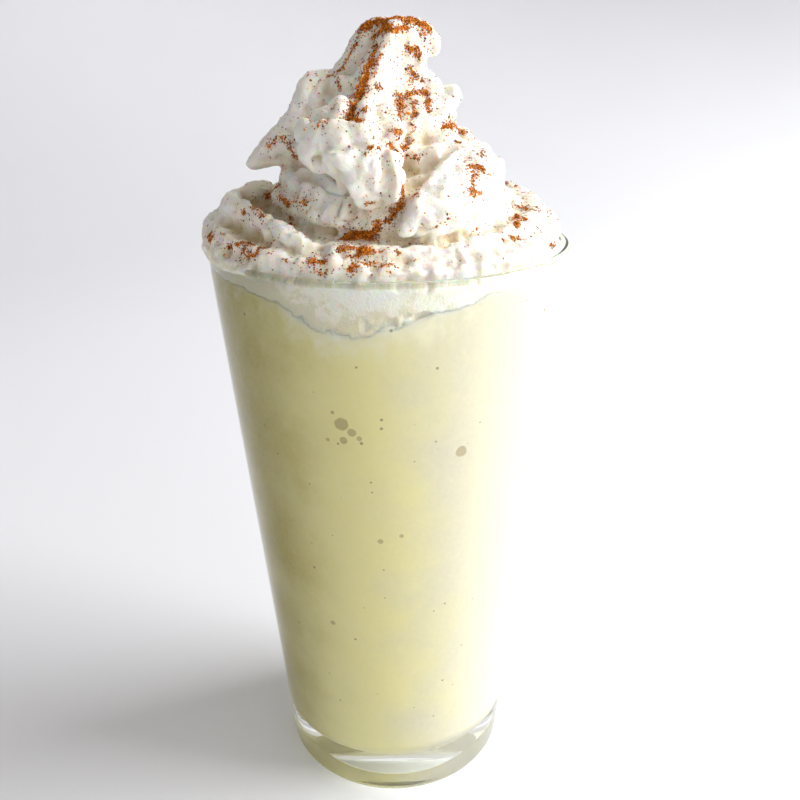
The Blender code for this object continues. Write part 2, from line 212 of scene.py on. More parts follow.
LEDGES = [(20.0, 173.0, 2.6), (23.0, 166.5, 2.6), (27.0, 162.8, 2.6), (31.5, 157.8, 3.0), (36.5, 153.5, 3.0)]
LEDGE_WIDTH = 3.0

# The photo's side in pixels, and the parts of it that were enlarged to trace on: the left and top of each
# in the photo's pixels, and how many times it was enlarged
PHOTO_SIDE = 800
TRACED_ON = {
    "top": (290, 0, 8.71),
    "left": (230, 110, 8.71),
    "right": (390, 110, 8.71),
    "rim": (195, 170, 7.65),
    "upper drink": (280, 370, 7.84),
    "lower drink": (290, 530, 8.25),
}

# Ridges and creases of the cream: the part traced on, the line in that enlarged part's pixels, its width and
# its height in mm (below zero for a crease)
RELIEF = {
    "peak streak": (
        "top",
        [(790, 260), (740, 430), (700, 560), (660, 680), (600, 820), (530, 980)],
        1.4,
        -0.9,
    ),
    "peak ridge": ("top", [(880, 300), (830, 440), (760, 620), (720, 820), (650, 950)], 1.2, 0.8),
    "peak face": ("top", [(1000, 420), (1000, 600), (950, 800), (880, 1000), (830, 1150)], 2, -0.7),
    "under the lobe": ("top", [(1180, 570), (1100, 560)], 1.2, -0.8),
    "face rim": ("top", [(870, 1190), (940, 1170), (1040, 1140), (1100, 1070), (1150, 960)], 0.9, 0.9),
    "face gap": ("top", [(870, 1280), (960, 1280), (1040, 1220)], 1.1, -1.6),
    "shoulder crease": ("top", [(260, 690), (170, 800), (135, 920), (160, 1020)], 1.2, -1.2),
    "shoulder flute": ("top", [(340, 800), (330, 960)], 1.2, -0.6),
    "shoulder flute right": ("top", [(450, 780), (440, 960)], 1.2, 0.5),
    "under the face edge": ("top", [(200, 1030), (350, 1020), (500, 1010)], 0.9, -1.3),
    "drape top": (
        "left",
        [(640, 190), (720, 140), (860, 120), (960, 90), (1060, 140), (1130, 150), (1200, 80)],
        1,
        0.9,
    ),
    "drape hollow": ("left", [(800, 340), (770, 420), (720, 480)], 1.5, -1.8),
    "curl": ("left", [(790, 330), (850, 380), (940, 410), (1010, 400), (1060, 370)], 0.8, 1.7),
    "curl ridge": ("left", [(790, 340), (800, 440), (790, 530)], 0.9, 1),
    "over the curl": ("left", [(840, 330), (930, 360), (1010, 360)], 1, -0.8),
    "drape spur": ("left", [(1350, 290), (1380, 360), (1430, 480), (1450, 600), (1430, 740)], 1, 1.3),
    "drape fold": ("left", [(1250, 420), (1200, 520), (1180, 640)], 1.6, -0.8),
    "drape fold right": ("left", [(1330, 420), (1340, 560), (1310, 700)], 1.2, -0.7),
    "drape lip": ("left", [(620, 530), (700, 545), (800, 580), (900, 640), (1020, 640)], 0.9, 1.3),
    "drape shadow": ("left", [(620, 590), (740, 610), (850, 690), (950, 730), (1010, 700)], 1.8, -3),
    "tongue": (
        "left",
        [(1060, 680), (1090, 760), (1150, 820), (1240, 860), (1340, 840), (1420, 760)],
        1,
        1,
    ),
    "tongue hollow": ("left", [(1180, 700), (1230, 760), (1320, 770)], 1.2, -0.7),
    "coil crease": ("left", [(925, 800), (915, 900), (905, 1060)], 0.7, -1.6),
    "coil flute one": ("left", [(690, 860), (680, 960), (660, 1060)], 0.9, -0.9),
    "coil flute two": ("left", [(790, 800), (770, 920), (770, 1040)], 0.9, -0.6),
    "coil flute three": ("left", [(1040, 860), (1010, 960), (990, 1040)], 1.2, -0.9),
    "coil flute four": ("left", [(480, 850), (480, 990)], 0.9, -0.9),
    "coil flute five": ("left", [(600, 870), (580, 980)], 0.8, -0.6),
    "coil flute six": ("left", [(1180, 900), (1140, 1010)], 1.2, -0.6),
    "coil top": ("left", [(380, 790), (440, 770), (520, 830), (570, 810), (640, 820)], 0.8, 0.9),
    "wisp ridge": (
        "left",
        [(200, 460), (270, 370), (340, 290), (400, 240), (470, 260), (560, 350)],
        1.2,
        0.8,
    ),
    "wisp hollow": ("left", [(300, 440), (380, 460), (430, 430)], 1.6, -1.2),
    "wisp crease": ("left", [(585, 250), (590, 400), (620, 500)], 1, -1.4),
    "scroll edge": (
        "rim",
        [(290, 190), (350, 240), (440, 300), (510, 360), (570, 400), (650, 450), (720, 500), (800, 540),
         (870, 590)],
        1,
        0.9,
    ),
    "scroll hollow": ("rim", [(420, 200), (480, 260), (540, 320)], 2.2, -2.5),
    "scroll groove": ("rim", [(230, 400), (330, 450), (450, 500), (560, 560)], 1.6, -1.6),
    "scroll face": ("rim", [(300, 300), (380, 380), (470, 460)], 1.2, -0.5),
    "scroll step": ("rim", [(560, 400), (570, 480), (640, 560), (740, 600)], 1, -1),
    "base step": ("rim", [(880, 600), (960, 590), (1030, 540)], 0.9, -1.2),
    "base tongue": ("rim", [(1020, 550), (1060, 620), (1060, 700)], 0.9, 0.9),
    "base notch": ("rim", [(1340, 830), (1350, 760)], 0.8, -1.3),
    "valley": ("right", [(150, 480), (180, 560), (200, 620)], 2.2, -1.6),
    "valley top": ("right", [(320, 260)], 2, -1),
    "right edge": ("right", [(560, 390), (480, 490), (400, 560), (340, 640), (270, 720)], 0.9, 0.9),
    "right low edge": ("right", [(240, 780), (240, 900), (330, 980), (430, 990), (560, 900)], 1.1, 0.9),
    "right low groove": ("right", [(300, 1060), (400, 1070), (540, 980)], 1.5, -1.4),
    "right pit": ("right", [(720, 940)], 1.3, -0.4),
    "groove": ("right", [(0, 1300), (150, 1280), (280, 1240), (400, 1200), (540, 1140)], 0.9, -0.6),
    "groove pit": ("right", [(120, 1150), (220, 1130), (320, 1130)], 1.6, -1.3),
    "ring flute one": ("right", [(490, 1230), (500, 1340)], 0.9, -0.9),
    "ring flute two": ("right", [(590, 1180), (600, 1330)], 0.9, -0.8),
    "ring flute three": ("right", [(740, 1330), (760, 1380)], 1, -0.9),
    "ring flute four": ("right", [(900, 1330), (930, 1390)], 1, -0.9),
}

# Lines along which cinnamon fell thickly: as above, with a thickness from 0 to 1 for the height
DUSTED = [
    ("top", [(640, 240), (760, 180), (880, 140), (980, 170), (1100, 180), (1200, 230)], 1.6, 1),
    ("top", [(800, 250), (900, 260), (1000, 240)], 1.2, 1),
    ("top", [(1150, 260), (1160, 340)], 0.8, 0.6),
    ("top", [(1030, 430), (1100, 430), (1120, 500)], 0.9, 0.8),
    ("top", [(820, 250), (740, 320)], 1.2, 1),
    ("top", [(740, 400), (710, 560)], 0.9, 0.8),
    ("top", [(700, 560), (650, 700), (600, 830), (540, 950), (510, 1020)], 1.3, 1),
    ("top", [(790, 470), (750, 560), (730, 650)], 0.7, 0.8),
    ("top", [(755, 745), (770, 755)], 0.8, 0.8),
    ("top", [(640, 960), (690, 950)], 0.8, 0.8),
    ("top", [(520, 1040), (600, 1050)], 1, 0.9),
    ("top", [(420, 700), (430, 780)], 0.8, 0.6),
    ("top", [(670, 600), (690, 600)], 1, 0.7),
    ("top", [(630, 250), (560, 400), (460, 590), (330, 660)], 0.4, 0.8),
    ("top", [(1050, 600), (1080, 660), (1170, 700)], 0.8, 0.8),
    ("top", [(1040, 710), (1060, 710)], 0.8, 0.5),
    ("top", [(960, 860), (1060, 810), (1180, 800), (1210, 870), (1200, 960)], 0.9, 0.8),
    ("top", [(970, 920), (950, 1000)], 1.1, 1),
    ("top", [(1070, 900), (1080, 1000)], 1, 0.8),
    ("top", [(1060, 1080), (1080, 1130)], 1, 0.8),
    ("top", [(930, 1150), (960, 1130)], 1.2, 1),
    ("top", [(870, 1270), (1000, 1280), (1040, 1220)], 1.1, 1),
    ("top", [(1010, 1360), (1120, 1370)], 0.6, 0.7),
    ("top", [(690, 1290), (780, 1280)], 0.6, 0.8),
    ("top", [(240, 1070), (330, 1050)], 0.6, 0.6),
    ("top", [(200, 640), (220, 640)], 0.7, 0.5),
    ("left", [(340, 320), (410, 240), (470, 250), (540, 360), (570, 410)], 0.9, 0.6),
    ("left", [(350, 750), (440, 760), (500, 830), (560, 790), (640, 810)], 0.7, 1),
    ("left", [(330, 740), (420, 660)], 1, 0.6),
    ("left", [(200, 850), (290, 920)], 0.8, 0.9),
    ("left", [(110, 890), (130, 890)], 0.9, 0.7),
    ("left", [(520, 930), (530, 990)], 0.7, 0.8),
    ("left", [(1220, 810), (1240, 810)], 0.8, 0.6),
    ("left", [(1500, 660), (1510, 740)], 0.9, 0.8),
    ("left", [(1490, 830), (1430, 900), (1380, 980)], 0.9, 1),
    ("left", [(1300, 1000), (1200, 1070), (1100, 1090), (1000, 1120)], 1.2, 1),
    ("left", [(1210, 1110), (1230, 1110)], 0.9, 0.8),
    ("rim", [(110, 490), (120, 540)], 0.9, 0.7),
    ("rim", [(200, 490), (220, 490)], 0.5, 0.6),
    ("rim", [(260, 590), (330, 570), (400, 560), (460, 570)], 0.8, 0.8),
    ("rim", [(360, 630), (390, 610)], 0.7, 0.9),
    ("rim", [(400, 660), (460, 650)], 0.7, 0.9),
    ("rim", [(490, 610), (540, 600)], 0.9, 0.9),
    ("rim", [(690, 690), (710, 690)], 0.5, 0.5),
    ("rim", [(900, 700), (1000, 700)], 1, 0.9),
    ("rim", [(960, 790), (1010, 790)], 0.6, 0.7),
    ("rim", [(840, 800), (860, 800)], 0.6, 0.7),
    ("rim", [(1100, 600), (1200, 600), (1340, 620)], 0.7, 0.9),
    ("rim", [(1210, 660), (1270, 640)], 0.8, 1),
    ("rim", [(1400, 620), (1480, 610)], 0.7, 0.5),
    ("rim", [(1180, 760), (1220, 730), (1340, 720)], 0.8, 0.9),
    ("rim", [(1440, 730), (1500, 720)], 0.9, 0.9),
    ("rim", [(1170, 540), (1260, 490), (1360, 490)], 1.2, 1),
    ("right", [(460, 140), (580, 150), (640, 190), (720, 180)], 1, 0.9),
    ("right", [(580, 280), (600, 280)], 0.8, 0.7),
    ("right", [(810, 330), (810, 400)], 0.8, 0.5),
    ("right", [(720, 490), (760, 500), (820, 520)], 0.8, 0.9),
    ("right", [(740, 560), (710, 700)], 1, 0.7),
    ("right", [(720, 720), (800, 720)], 0.6, 0.8),
    ("right", [(850, 560), (930, 520)], 1, 0.35),
    ("right", [(1070, 830), (1160, 840), (1240, 880), (1300, 860)], 1.2, 0.5),
    ("right", [(1110, 920), (1110, 1000)], 0.8, 1),
    ("right", [(1170, 940), (1190, 940)], 0.8, 0.7),
    ("right", [(1060, 1110), (1130, 1120)], 0.6, 0.8),
    ("right", [(1390, 1170), (1470, 1180)], 0.7, 0.9),
    ("right", [(1450, 1040), (1540, 1100)], 0.6, 0.8),
    ("right", [(220, 740), (240, 740)], 0.6, 0.8),
    ("right", [(530, 930), (480, 980)], 0.5, 0.8),
    ("right", [(390, 1020), (410, 1020)], 0.6, 0.7),
    ("right", [(720, 1090), (740, 1090)], 0.6, 0.5),
    ("right", [(60, 1240), (80, 1240)], 0.5, 0.8),
]
DUSTED_STEP = 14  # in the photo's pixels, the longest run of such a line between points on the cream
DUSTED_SPREAD = 0.88  # how wide the dusting along such a line spreads, as a part of the line's width

# The same at the back: points in mm, width in mm and thickness
DUSTED_BEHIND = [
    ([(6, 8, 190), (10, 12, 181), (6, 18, 176)], 1.6, 0.9),
    ([(-3, 7, 196), (-5, 9, 188)], 1.2, 0.8),
    ([(-14, 18, 172), (-20, 17, 168), (-24, 16, 164), (-30, 14, 160)], 1.4, 0.9),
    ([(18, 18, 170), (24, 18, 165), (28, 18, 161), (34, 14, 157)], 1.5, 0.9),
    ([(-20, 34, 156), (-12, 36, 158), (-4, 38, 158)], 1.3, 0.8),
    ([(4, 37, 157), (14, 36, 157), (24, 31, 156)], 1.2, 0.9),
    ([(8, 24, 168), (0, 27, 167)], 1.2, 0.8),
    ([(24, -2, 168), (24, 8, 168)], 1.3, 0.8),
    ([(36, -2, 157), (37, 8, 156)], 1.3, 0.9),
]

# Bubbles against the wall: the part traced on, the middle in that enlarged part's pixels and the radius in mm
BUBBLES = [
    ("upper drink", (480, 425), 1.15),
    ("upper drink", (562, 492), 0.75),
    ("upper drink", (498, 553), 0.65),
    ("upper drink", (620, 540), 0.45),
    ("upper drink", (375, 545), 0.35),
    ("upper drink", (410, 333), 0.35),
    ("upper drink", (1418, 640), 1.05),
    ("lower drink", (745, 95), 0.5),
    ("lower drink", (920, 50), 0.4),
    ("lower drink", (355, 765), 0.5),
]

# The camera, fitted to the glass: its place, lens and sensor in mm and its turns in radians
CAMERA_PLACE = (0.0, -204.03, 192.13)
CAMERA_DOWN = 0.3966
CAMERA_RIGHT = 0.01136
CAMERA_ROLL = -0.00817
CAMERA_LENS = 37.43
CAMERA_SENSOR = 36.0


class GlassSettings(bpy.types.PropertyGroup):
    """Sizes of the glass."""

    height: FloatProperty(name="Height", description="From foot to lip", default=150 * MM, unit="LENGTH")
    rim_radius: FloatProperty(name="Rim radius", description="Outside", default=44 * MM, unit="LENGTH")
    foot_radius: FloatProperty(name="Foot radius", description="Outside", default=31 * MM, unit="LENGTH")
    wall_at_rim: FloatProperty(name="Wall at rim", description="Thickness", default=2.4 * MM, unit="LENGTH")
    wall_at_floor: FloatProperty(
        name="Wall at floor", description="Thickness", default=3.2 * MM, unit="LENGTH"
    )
    floor: FloatProperty(name="Floor", description="Thickness of the floor", default=12 * MM, unit="LENGTH")
    corner: FloatProperty(name="Inner corner", description="Rounding inside", default=6 * MM, unit="LENGTH")
    foot_edge: FloatProperty(
        name="Foot edge", description="Rounding of the foot", default=3 * MM, unit="LENGTH"
    )
    recess: FloatProperty(name="Recess", description="Step under the foot", default=0.3 * MM, unit="LENGTH")
    dome: FloatProperty(
        name="Dome", description="Height of the dome under the foot", default=7 * MM, unit="LENGTH"
    )
    dome_radius: FloatProperty(name="Dome radius", description="Its radius", default=17 * MM, unit="LENGTH")
    tint: FloatVectorProperty(
        name="Tint", description="Colour of the glass", default=(0.97, 0.985, 0.97), subtype="COLOR"
    )


class DrinkSettings(bpy.types.PropertyGroup):
    """Colours of the milkshake."""

    # These colours paint the light from the right into the drink: painted shade on its left, painted light on
    # its right.
    painted_shade_left: FloatVectorProperty(
        name="Deep",
        description="Colour of the milkshake on its left",
        default=(0.56, 0.47, 0.05),
        subtype="COLOR",
    )
    middle: FloatVectorProperty(
        name="Middle",
        description="Colour of the milkshake in its middle",
        default=(0.84, 0.79, 0.40),
        subtype="COLOR",
    )
    painted_light_right: FloatVectorProperty(
        name="Pale",
        description="Colour of the milkshake on its right",
        default=(0.70, 0.67, 0.54),
        subtype="COLOR",
    )
    froth: FloatVectorProperty(
        name="Froth",
        description="Colour of the froth under the cream",
        default=(0.90, 0.87, 0.68),
        subtype="COLOR",
    )
    fleck: FloatVectorProperty(
        name="Flecks",
        description="Colour of the specks in the drink",
        default=(0.16, 0.11, 0.05),
        subtype="COLOR",
    )


class CreamSettings(bpy.types.PropertyGroup):
    """Sizes and colour of the whipped cream."""

    voxel: FloatProperty(
        name="Cell", description="Fineness of the surface", default=0.56 * MM, unit="LENGTH"
    )
    flutes: IntProperty(name="Flutes", description="Flutes around the rope", default=8)
    flute_depth: FloatProperty(name="Flute depth", description="Share of the radius", default=0.09)
    ruffle_depth: FloatProperty(name="Ruffle depth", description="Share of the radius", default=0.07)
    lump_depth: FloatProperty(
        name="Lumps", description="Height of its lumps", default=0.8 * MM, unit="LENGTH"
    )
    color: FloatVectorProperty(
        name="Cream", description="Colour of the cream", default=(0.95, 0.91, 0.82), subtype="COLOR"
    )


class CinnamonSettings(bpy.types.PropertyGroup):
    """Amount and colours of the cinnamon."""

    grains: IntProperty(name="Grains", description="How many grains lie on the cream", default=24000)
    grain_size: FloatProperty(
        name="Grain", description="Radius of a grain", default=0.13 * MM, unit="LENGTH"
    )
    light: FloatVectorProperty(
        name="Light grains",
        description="Colour of the lightest grains",
        default=(0.95, 0.29, 0.02),
        subtype="COLOR",
    )
    dark: FloatVectorProperty(
        name="Dark grains",
        description="Colour of the darkest grains",
        default=(0.13, 0.032, 0.006),
        subtype="COLOR",
    )


class StageSettings(bpy.types.PropertyGroup):
    """Light and floor."""

    key_power: FloatProperty(name="Key light", description="Power of the light on the right", default=31.0)
    front_power: FloatProperty(name="Front light", description="Power of the light in front", default=6.5)
    top_power: FloatProperty(name="Top light", description="Power of the light overhead", default=4.0)
    backdrop_power: FloatProperty(
        name="Backdrop light", description="Power of the light behind", default=0.8
    )
    sky: FloatProperty(name="Daylight", description="Strength of the light from all round", default=0.14)
    floor: FloatVectorProperty(
        name="Floor", description="Colour of the floor", default=(0.885, 0.90, 0.95), subtype="COLOR"
    )


def value_noise(points, size, seed):
    """Smooth random heights from -1 to 1: a lattice of this spacing has a random height at each corner,
    and a point blends its cell's eight corners by 3t² - 2t³ along each axis."""
    cell = np.floor(points / size).astype(np.int64)
    t = points / size - cell
    t = t * t * (3 - 2 * t)
    total = np.zeros(len(points))
    for corner in itertools.product((0, 1), repeat=3):
        key = (cell + corner) @ np.array([73856093, 19349663, 83492791]) + seed * 2654435
        key = (key ^ (key >> 13)) & 0xFFFFFFFF
        key = (key * 1274126177) & 0xFFFFFFFF
        key = (key ^ (key >> 16)) & 0xFFFF
        weight = np.prod(np.where(np.array(corner) == 1, t, 1 - t), axis=1)
        total += weight * (key / 32767.5 - 1)
    return total


def ring_faces(rows, columns):
    """Quads between each row of points and the next, where a row closes into a ring."""
    low = np.arange(rows - 1)[:, None] * columns
    here = np.arange(columns)
    then = (here + 1) % columns
    high = low + columns
    return np.stack([low + here, low + then, high + then, high + here], axis=-1).reshape(-1, 4)


def closed_body(rings, first, last):
    """Points and faces of rings (rows, columns, 3), closed at both ends by fans to single points."""
    rows, columns, _ = rings.shape
    points = np.vstack([rings.reshape(-1, 3), first, last])
    here = np.arange(columns)
    then = (here + 1) % columns
    top = (rows - 1) * columns
    start = np.stack([np.full(columns, rows * columns), then, here], axis=1)
    end = np.stack([top + here, top + then, np.full(columns, rows * columns + 1)], axis=1)
    return points, ring_faces(rows, columns).tolist() + start.tolist() + end.tolist()


def turned(profile, columns):
    """A profile of (radius, height) carried round the axis; its first and last points lie on the axis."""
    profile = np.asarray(profile, dtype=float)
    turn = np.linspace(0, 2 * np.pi, columns, endpoint=False)
    inner = profile[1:-1]
    rings = np.stack(
        [
            inner[:, :1] * np.cos(turn),
            inner[:, :1] * np.sin(turn),
            np.repeat(inner[:, 1:], columns, axis=1),
        ],
        axis=-1,
    )
    return closed_body(rings, (0, 0, profile[0, 1]), (0, 0, profile[-1, 1]))


def along(course, steps):
    """Evenly stepped points on the Catmull-Rom curve through a row of number groups."""
    knots = np.array(course, dtype=float)
    knots = np.vstack([2 * knots[0] - knots[1], knots, 2 * knots[-1] - knots[-2]])
    places = np.linspace(0.0, len(course) - 1, steps)
    index = np.minimum(places.astype(int), len(course) - 2)
    t = (places - index)[:, None]
    before, start, end, after = (knots[index + k] for k in range(4))
    return 0.5 * (
        2 * start
        + (end - before) * t
        + (2 * before - 5 * start + 4 * end - after) * t**2
        + (3 * start - before - 3 * end + after) * t**3
    )


def rope(points, radii, sides, stands=1.0, flutes=0, depth=0.0, twists=0.0, ruffle=0.0, ruffle_length=5.0):
    """A ring carried along points, with rounded ends.

    Its radius swells by depth times the cosine of its flutes, which turn about the rope as it goes, and by
    ruffle times |cos| of the way along, which leaves sharp creases across it.
    """
    count = len(points)
    ahead = np.gradient(points, axis=0)
    ahead /= np.linalg.norm(ahead, axis=1)[:, None]
    across = np.cross(ahead, (0.0, 0.0, 1.0))
    across /= np.linalg.norm(across, axis=1)[:, None]
    upward = np.cross(across, ahead)
    share = np.linspace(0.0, 1.0, count)
    length = np.concatenate([[0], np.cumsum(np.linalg.norm(np.diff(points, axis=0), axis=1))])
    ends = np.sqrt(np.clip(np.minimum(share, 1 - share) * count / 5, 0.02, 1.0))
    turns = np.linspace(0.0, 2 * np.pi, sides, endpoint=False)
    wave = 1 + depth * np.cos(flutes * turns[None, :] + 2 * np.pi * twists * share[:, None])
    wave = wave * (1 + ruffle * (np.abs(np.cos(np.pi * length / ruffle_length)) - 0.6))[:, None]
    reach = (radii * ends)[:, None] * wave
    rings = (
        points[:, None, :]
        + (reach * np.cos(turns))[:, :, None] * across[:, None, :]
        + (reach * stands * np.sin(turns))[:, :, None] * upward[:, None, :]
    )
    return closed_body(rings[:, ::-1], points[0], points[-1])


def fold(course, stands=1.0):
    """A smooth rope through a row of (x, y, z, radius)."""
    path = along(course, 60)
    return rope(path[:, :3], path[:, 3], 28, stands)


def new_mesh(name, points, faces):
    """A mesh from points in mm."""
    mesh = bpy.data.meshes.new(name)
    faces = faces.tolist() if isinstance(faces, np.ndarray) else faces
    mesh.from_pydata((np.asarray(points) * MM).tolist(), [], faces)
    mesh.update()
    return mesh


def add_piece(name, mesh, material, slot, *nodes):
    """Puts a mesh into the scene as a piece that rides on the glass's body."""
    mesh.materials.clear()
    mesh.materials.append(material)
    mesh.shade_smooth()
    obj = bpy.data.objects.new(name, mesh)
    bpy.context.scene.collection.objects.link(obj)
    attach(obj, "root")
    if nodes:
        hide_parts(*nodes)
    return obj


def outer_radius(z):
    """The glass's outside in mm at a height in mm: a straight line from foot to rim."""
    glass = bpy.context.scene.milkshake_glass
    share = z * MM / glass.height
    return (glass.foot_radius + (glass.rim_radius - glass.foot_radius) * share) / MM


def inner_radius(z):
    """The glass's inside in mm: the outside less a wall that thins towards the rim."""
    glass = bpy.context.scene.milkshake_glass
    share = (z * MM - glass.floor) / (glass.height - glass.floor)
    return outer_radius(z) - (glass.wall_at_floor + (glass.wall_at_rim - glass.wall_at_floor) * share) / MM


def corner_profile(grown, steps):
    """The quarter circle from the cavity's floor to its wall, moved outwards by grown."""
    glass = bpy.context.scene.milkshake_glass
    middle_z = (glass.floor + glass.corner) / MM
    middle_r = inner_radius(middle_z) - glass.corner / MM
    radius = glass.corner / MM + grown
    turn = np.linspace(0, np.pi / 2, steps)
    return np.stack([middle_r + radius * np.sin(turn), middle_z - radius * np.cos(turn)], axis=1)


def wall_line(turn):
    """Height at which the drink's top meets the wall: level, less a lopsided Gaussian dip for each place
    where cream lies against the glass, and ragged by four sine waves round the axis."""
    height = np.full(np.shape(turn), DRINK_AT_WALL)
    for towards, depth, before, after in CREAM_DIPS:
        off = (np.degrees(turn) - towards + 180) % 360 - 180
        height = height - depth * np.exp(-((off / np.where(off > 0, after, before)) ** 2))
    for count, size, start in LINE_WAVES:
        height = height + size * np.sin(count * turn + start)
    return height


class Nodes:
    """Short calls for a material's or a group's nodes."""

    def __init__(self, tree):
        self.tree = tree

    def add(self, kind, **values):
        node = self.tree.nodes.new(kind)
        for key, value in values.items():
            setattr(node, key, value)
        return node

    def link(self, source, target):
        self.tree.links.new(source, target)

    def feed(self, socket, value):
        """Links an output to a socket, or sets the socket to a plain value."""
        if isinstance(value, bpy.types.NodeSocket):
            self.link(value, socket)
        else:
            socket.default_value = value

    def math(self, operation, a, b=0.0, clamp=False):
        node = self.add("ShaderNodeMath", operation=operation, use_clamp=clamp)
        self.feed(node.inputs[0], a)
        self.feed(node.inputs[1], b)
        return node.outputs[0]

    def noise(self, position, scale, detail=2.0, roughness=0.5, distortion=0.0):
        node = self.add("ShaderNodeTexNoise")
        self.link(position, node.inputs["Vector"])
        node.inputs["Scale"].default_value = scale
        node.inputs["Detail"].default_value = detail
        node.inputs["Roughness"].default_value = roughness
        node.inputs["Distortion"].default_value = distortion
        return node.outputs["Fac"]

    def ramp(self, value, low, high, to_low=0.0, to_high=1.0):
        node = self.add("ShaderNodeMapRange", interpolation_type="SMOOTHSTEP")
        self.feed(node.inputs["Value"], value)
        for key, number in (("From Min", low), ("From Max", high), ("To Min", to_low), ("To Max", to_high)):
            self.feed(node.inputs[key], number)
        return node.outputs["Result"]

    def mix(self, share, a, b):
        node = self.add("ShaderNodeMix", data_type="RGBA")
        self.feed(node.inputs["Factor"], share)
        self.feed(node.inputs["A"], a)
        self.feed(node.inputs["B"], b)
        return node.outputs["Result"]

    def position(self):
        return self.add("ShaderNodeTexCoord").outputs["Object"]


def plain(color):
    """A colour property as four numbers."""
    return (*color, 1.0)


def new_material(name):
    """An empty material: its nodes, its Principled shader and its output."""
    material = bpy.data.materials.new(name)
    material.use_nodes = True
    tree = material.node_tree
    nodes = Nodes(tree)
    return material, nodes, tree.nodes["Principled BSDF"], tree.nodes["Material Output"]


def speck_group():
    """Node group: small scattered dots. Points of a Voronoi lattice keep a dot where a random value is
    below Share, and a dot's radius is a part of the lattice's spacing."""
    group = bpy.data.node_groups.get("scattered specks")
    if group:
        return group
    group = bpy.data.node_groups.new("scattered specks", "ShaderNodeTree")
    for name, kind, default in (
        ("Position", "NodeSocketVector", None),
        ("Scale", "NodeSocketFloat", 800.0),
        ("Share", "NodeSocketFloat", 0.2),
        ("Radius", "NodeSocketFloat", 0.25),
    ):
        socket = group.interface.new_socket(name, in_out="INPUT", socket_type=kind)
        if default is not None:
            socket.default_value = default
    group.interface.new_socket("Mask", in_out="OUTPUT", socket_type="NodeSocketFloat")
    nodes = Nodes(group)
    given = nodes.add("NodeGroupInput")
    result = nodes.add("NodeGroupOutput")
    cells = nodes.add("ShaderNodeTexVoronoi", feature="F1")
    nodes.link(given.outputs["Position"], cells.inputs["Vector"])
    nodes.link(given.outputs["Scale"], cells.inputs["Scale"])
    split = nodes.add("ShaderNodeSeparateColor")
    nodes.link(cells.outputs["Color"], split.inputs[0])
    chosen = nodes.math("LESS_THAN", split.outputs[0], given.outputs["Share"])
    size = nodes.math("MULTIPLY", given.outputs["Radius"], nodes.ramp(split.outputs[1], 0.0, 1.0, 0.5, 1.2))
    inside = nodes.ramp(cells.outputs["Distance"], size, nodes.math("MULTIPLY", size, 0.6))
    nodes.link(nodes.math("MULTIPLY", chosen, inside), result.inputs["Mask"])
    return group


def specks(nodes, position, scale, share, radius):
    """The speck group's mask with these values."""
    node = nodes.add("ShaderNodeGroup")
    node.node_tree = speck_group()
    nodes.link(position, node.inputs["Position"])
    node.inputs["Scale"].default_value = scale
    node.inputs["Share"].default_value = share
    node.inputs["Radius"].default_value = radius
    return node.outputs["Mask"]


def glass_material():
    """Clear glass, darker in its lip, that lets lamps through to what it holds."""
    material, nodes, shader, output = new_material("clear glass")
    glass = bpy.context.scene.milkshake_glass
    height = nodes.add("ShaderNodeSeparateXYZ")
    nodes.link(nodes.position(), height.inputs[0])
    lip = nodes.ramp(height.outputs["Z"], glass.height - 1.4 * MM, glass.height - 0.7 * MM)
    nodes.link(nodes.mix(lip, plain(glass.tint), (0.60, 0.63, 0.57, 1.0)), shader.inputs["Base Color"])
    shader.inputs["Roughness"].default_value = 0.0
    shader.inputs["IOR"].default_value = GLASS_INDEX
    shader.inputs["Transmission Weight"].default_value = 1.0
    clear = nodes.add("ShaderNodeBsdfTransparent")
    clear.inputs["Color"].default_value = (0.96, 0.97, 0.96, 1.0)
    path = nodes.add("ShaderNodeLightPath")
    both = nodes.add("ShaderNodeMixShader")
    nodes.link(path.outputs["Is Shadow Ray"], both.inputs["Fac"])
    nodes.link(shader.outputs[0], both.inputs[1])
    nodes.link(clear.outputs[0], both.inputs[2])
    nodes.link(both.outputs[0], output.inputs["Surface"])
    return material


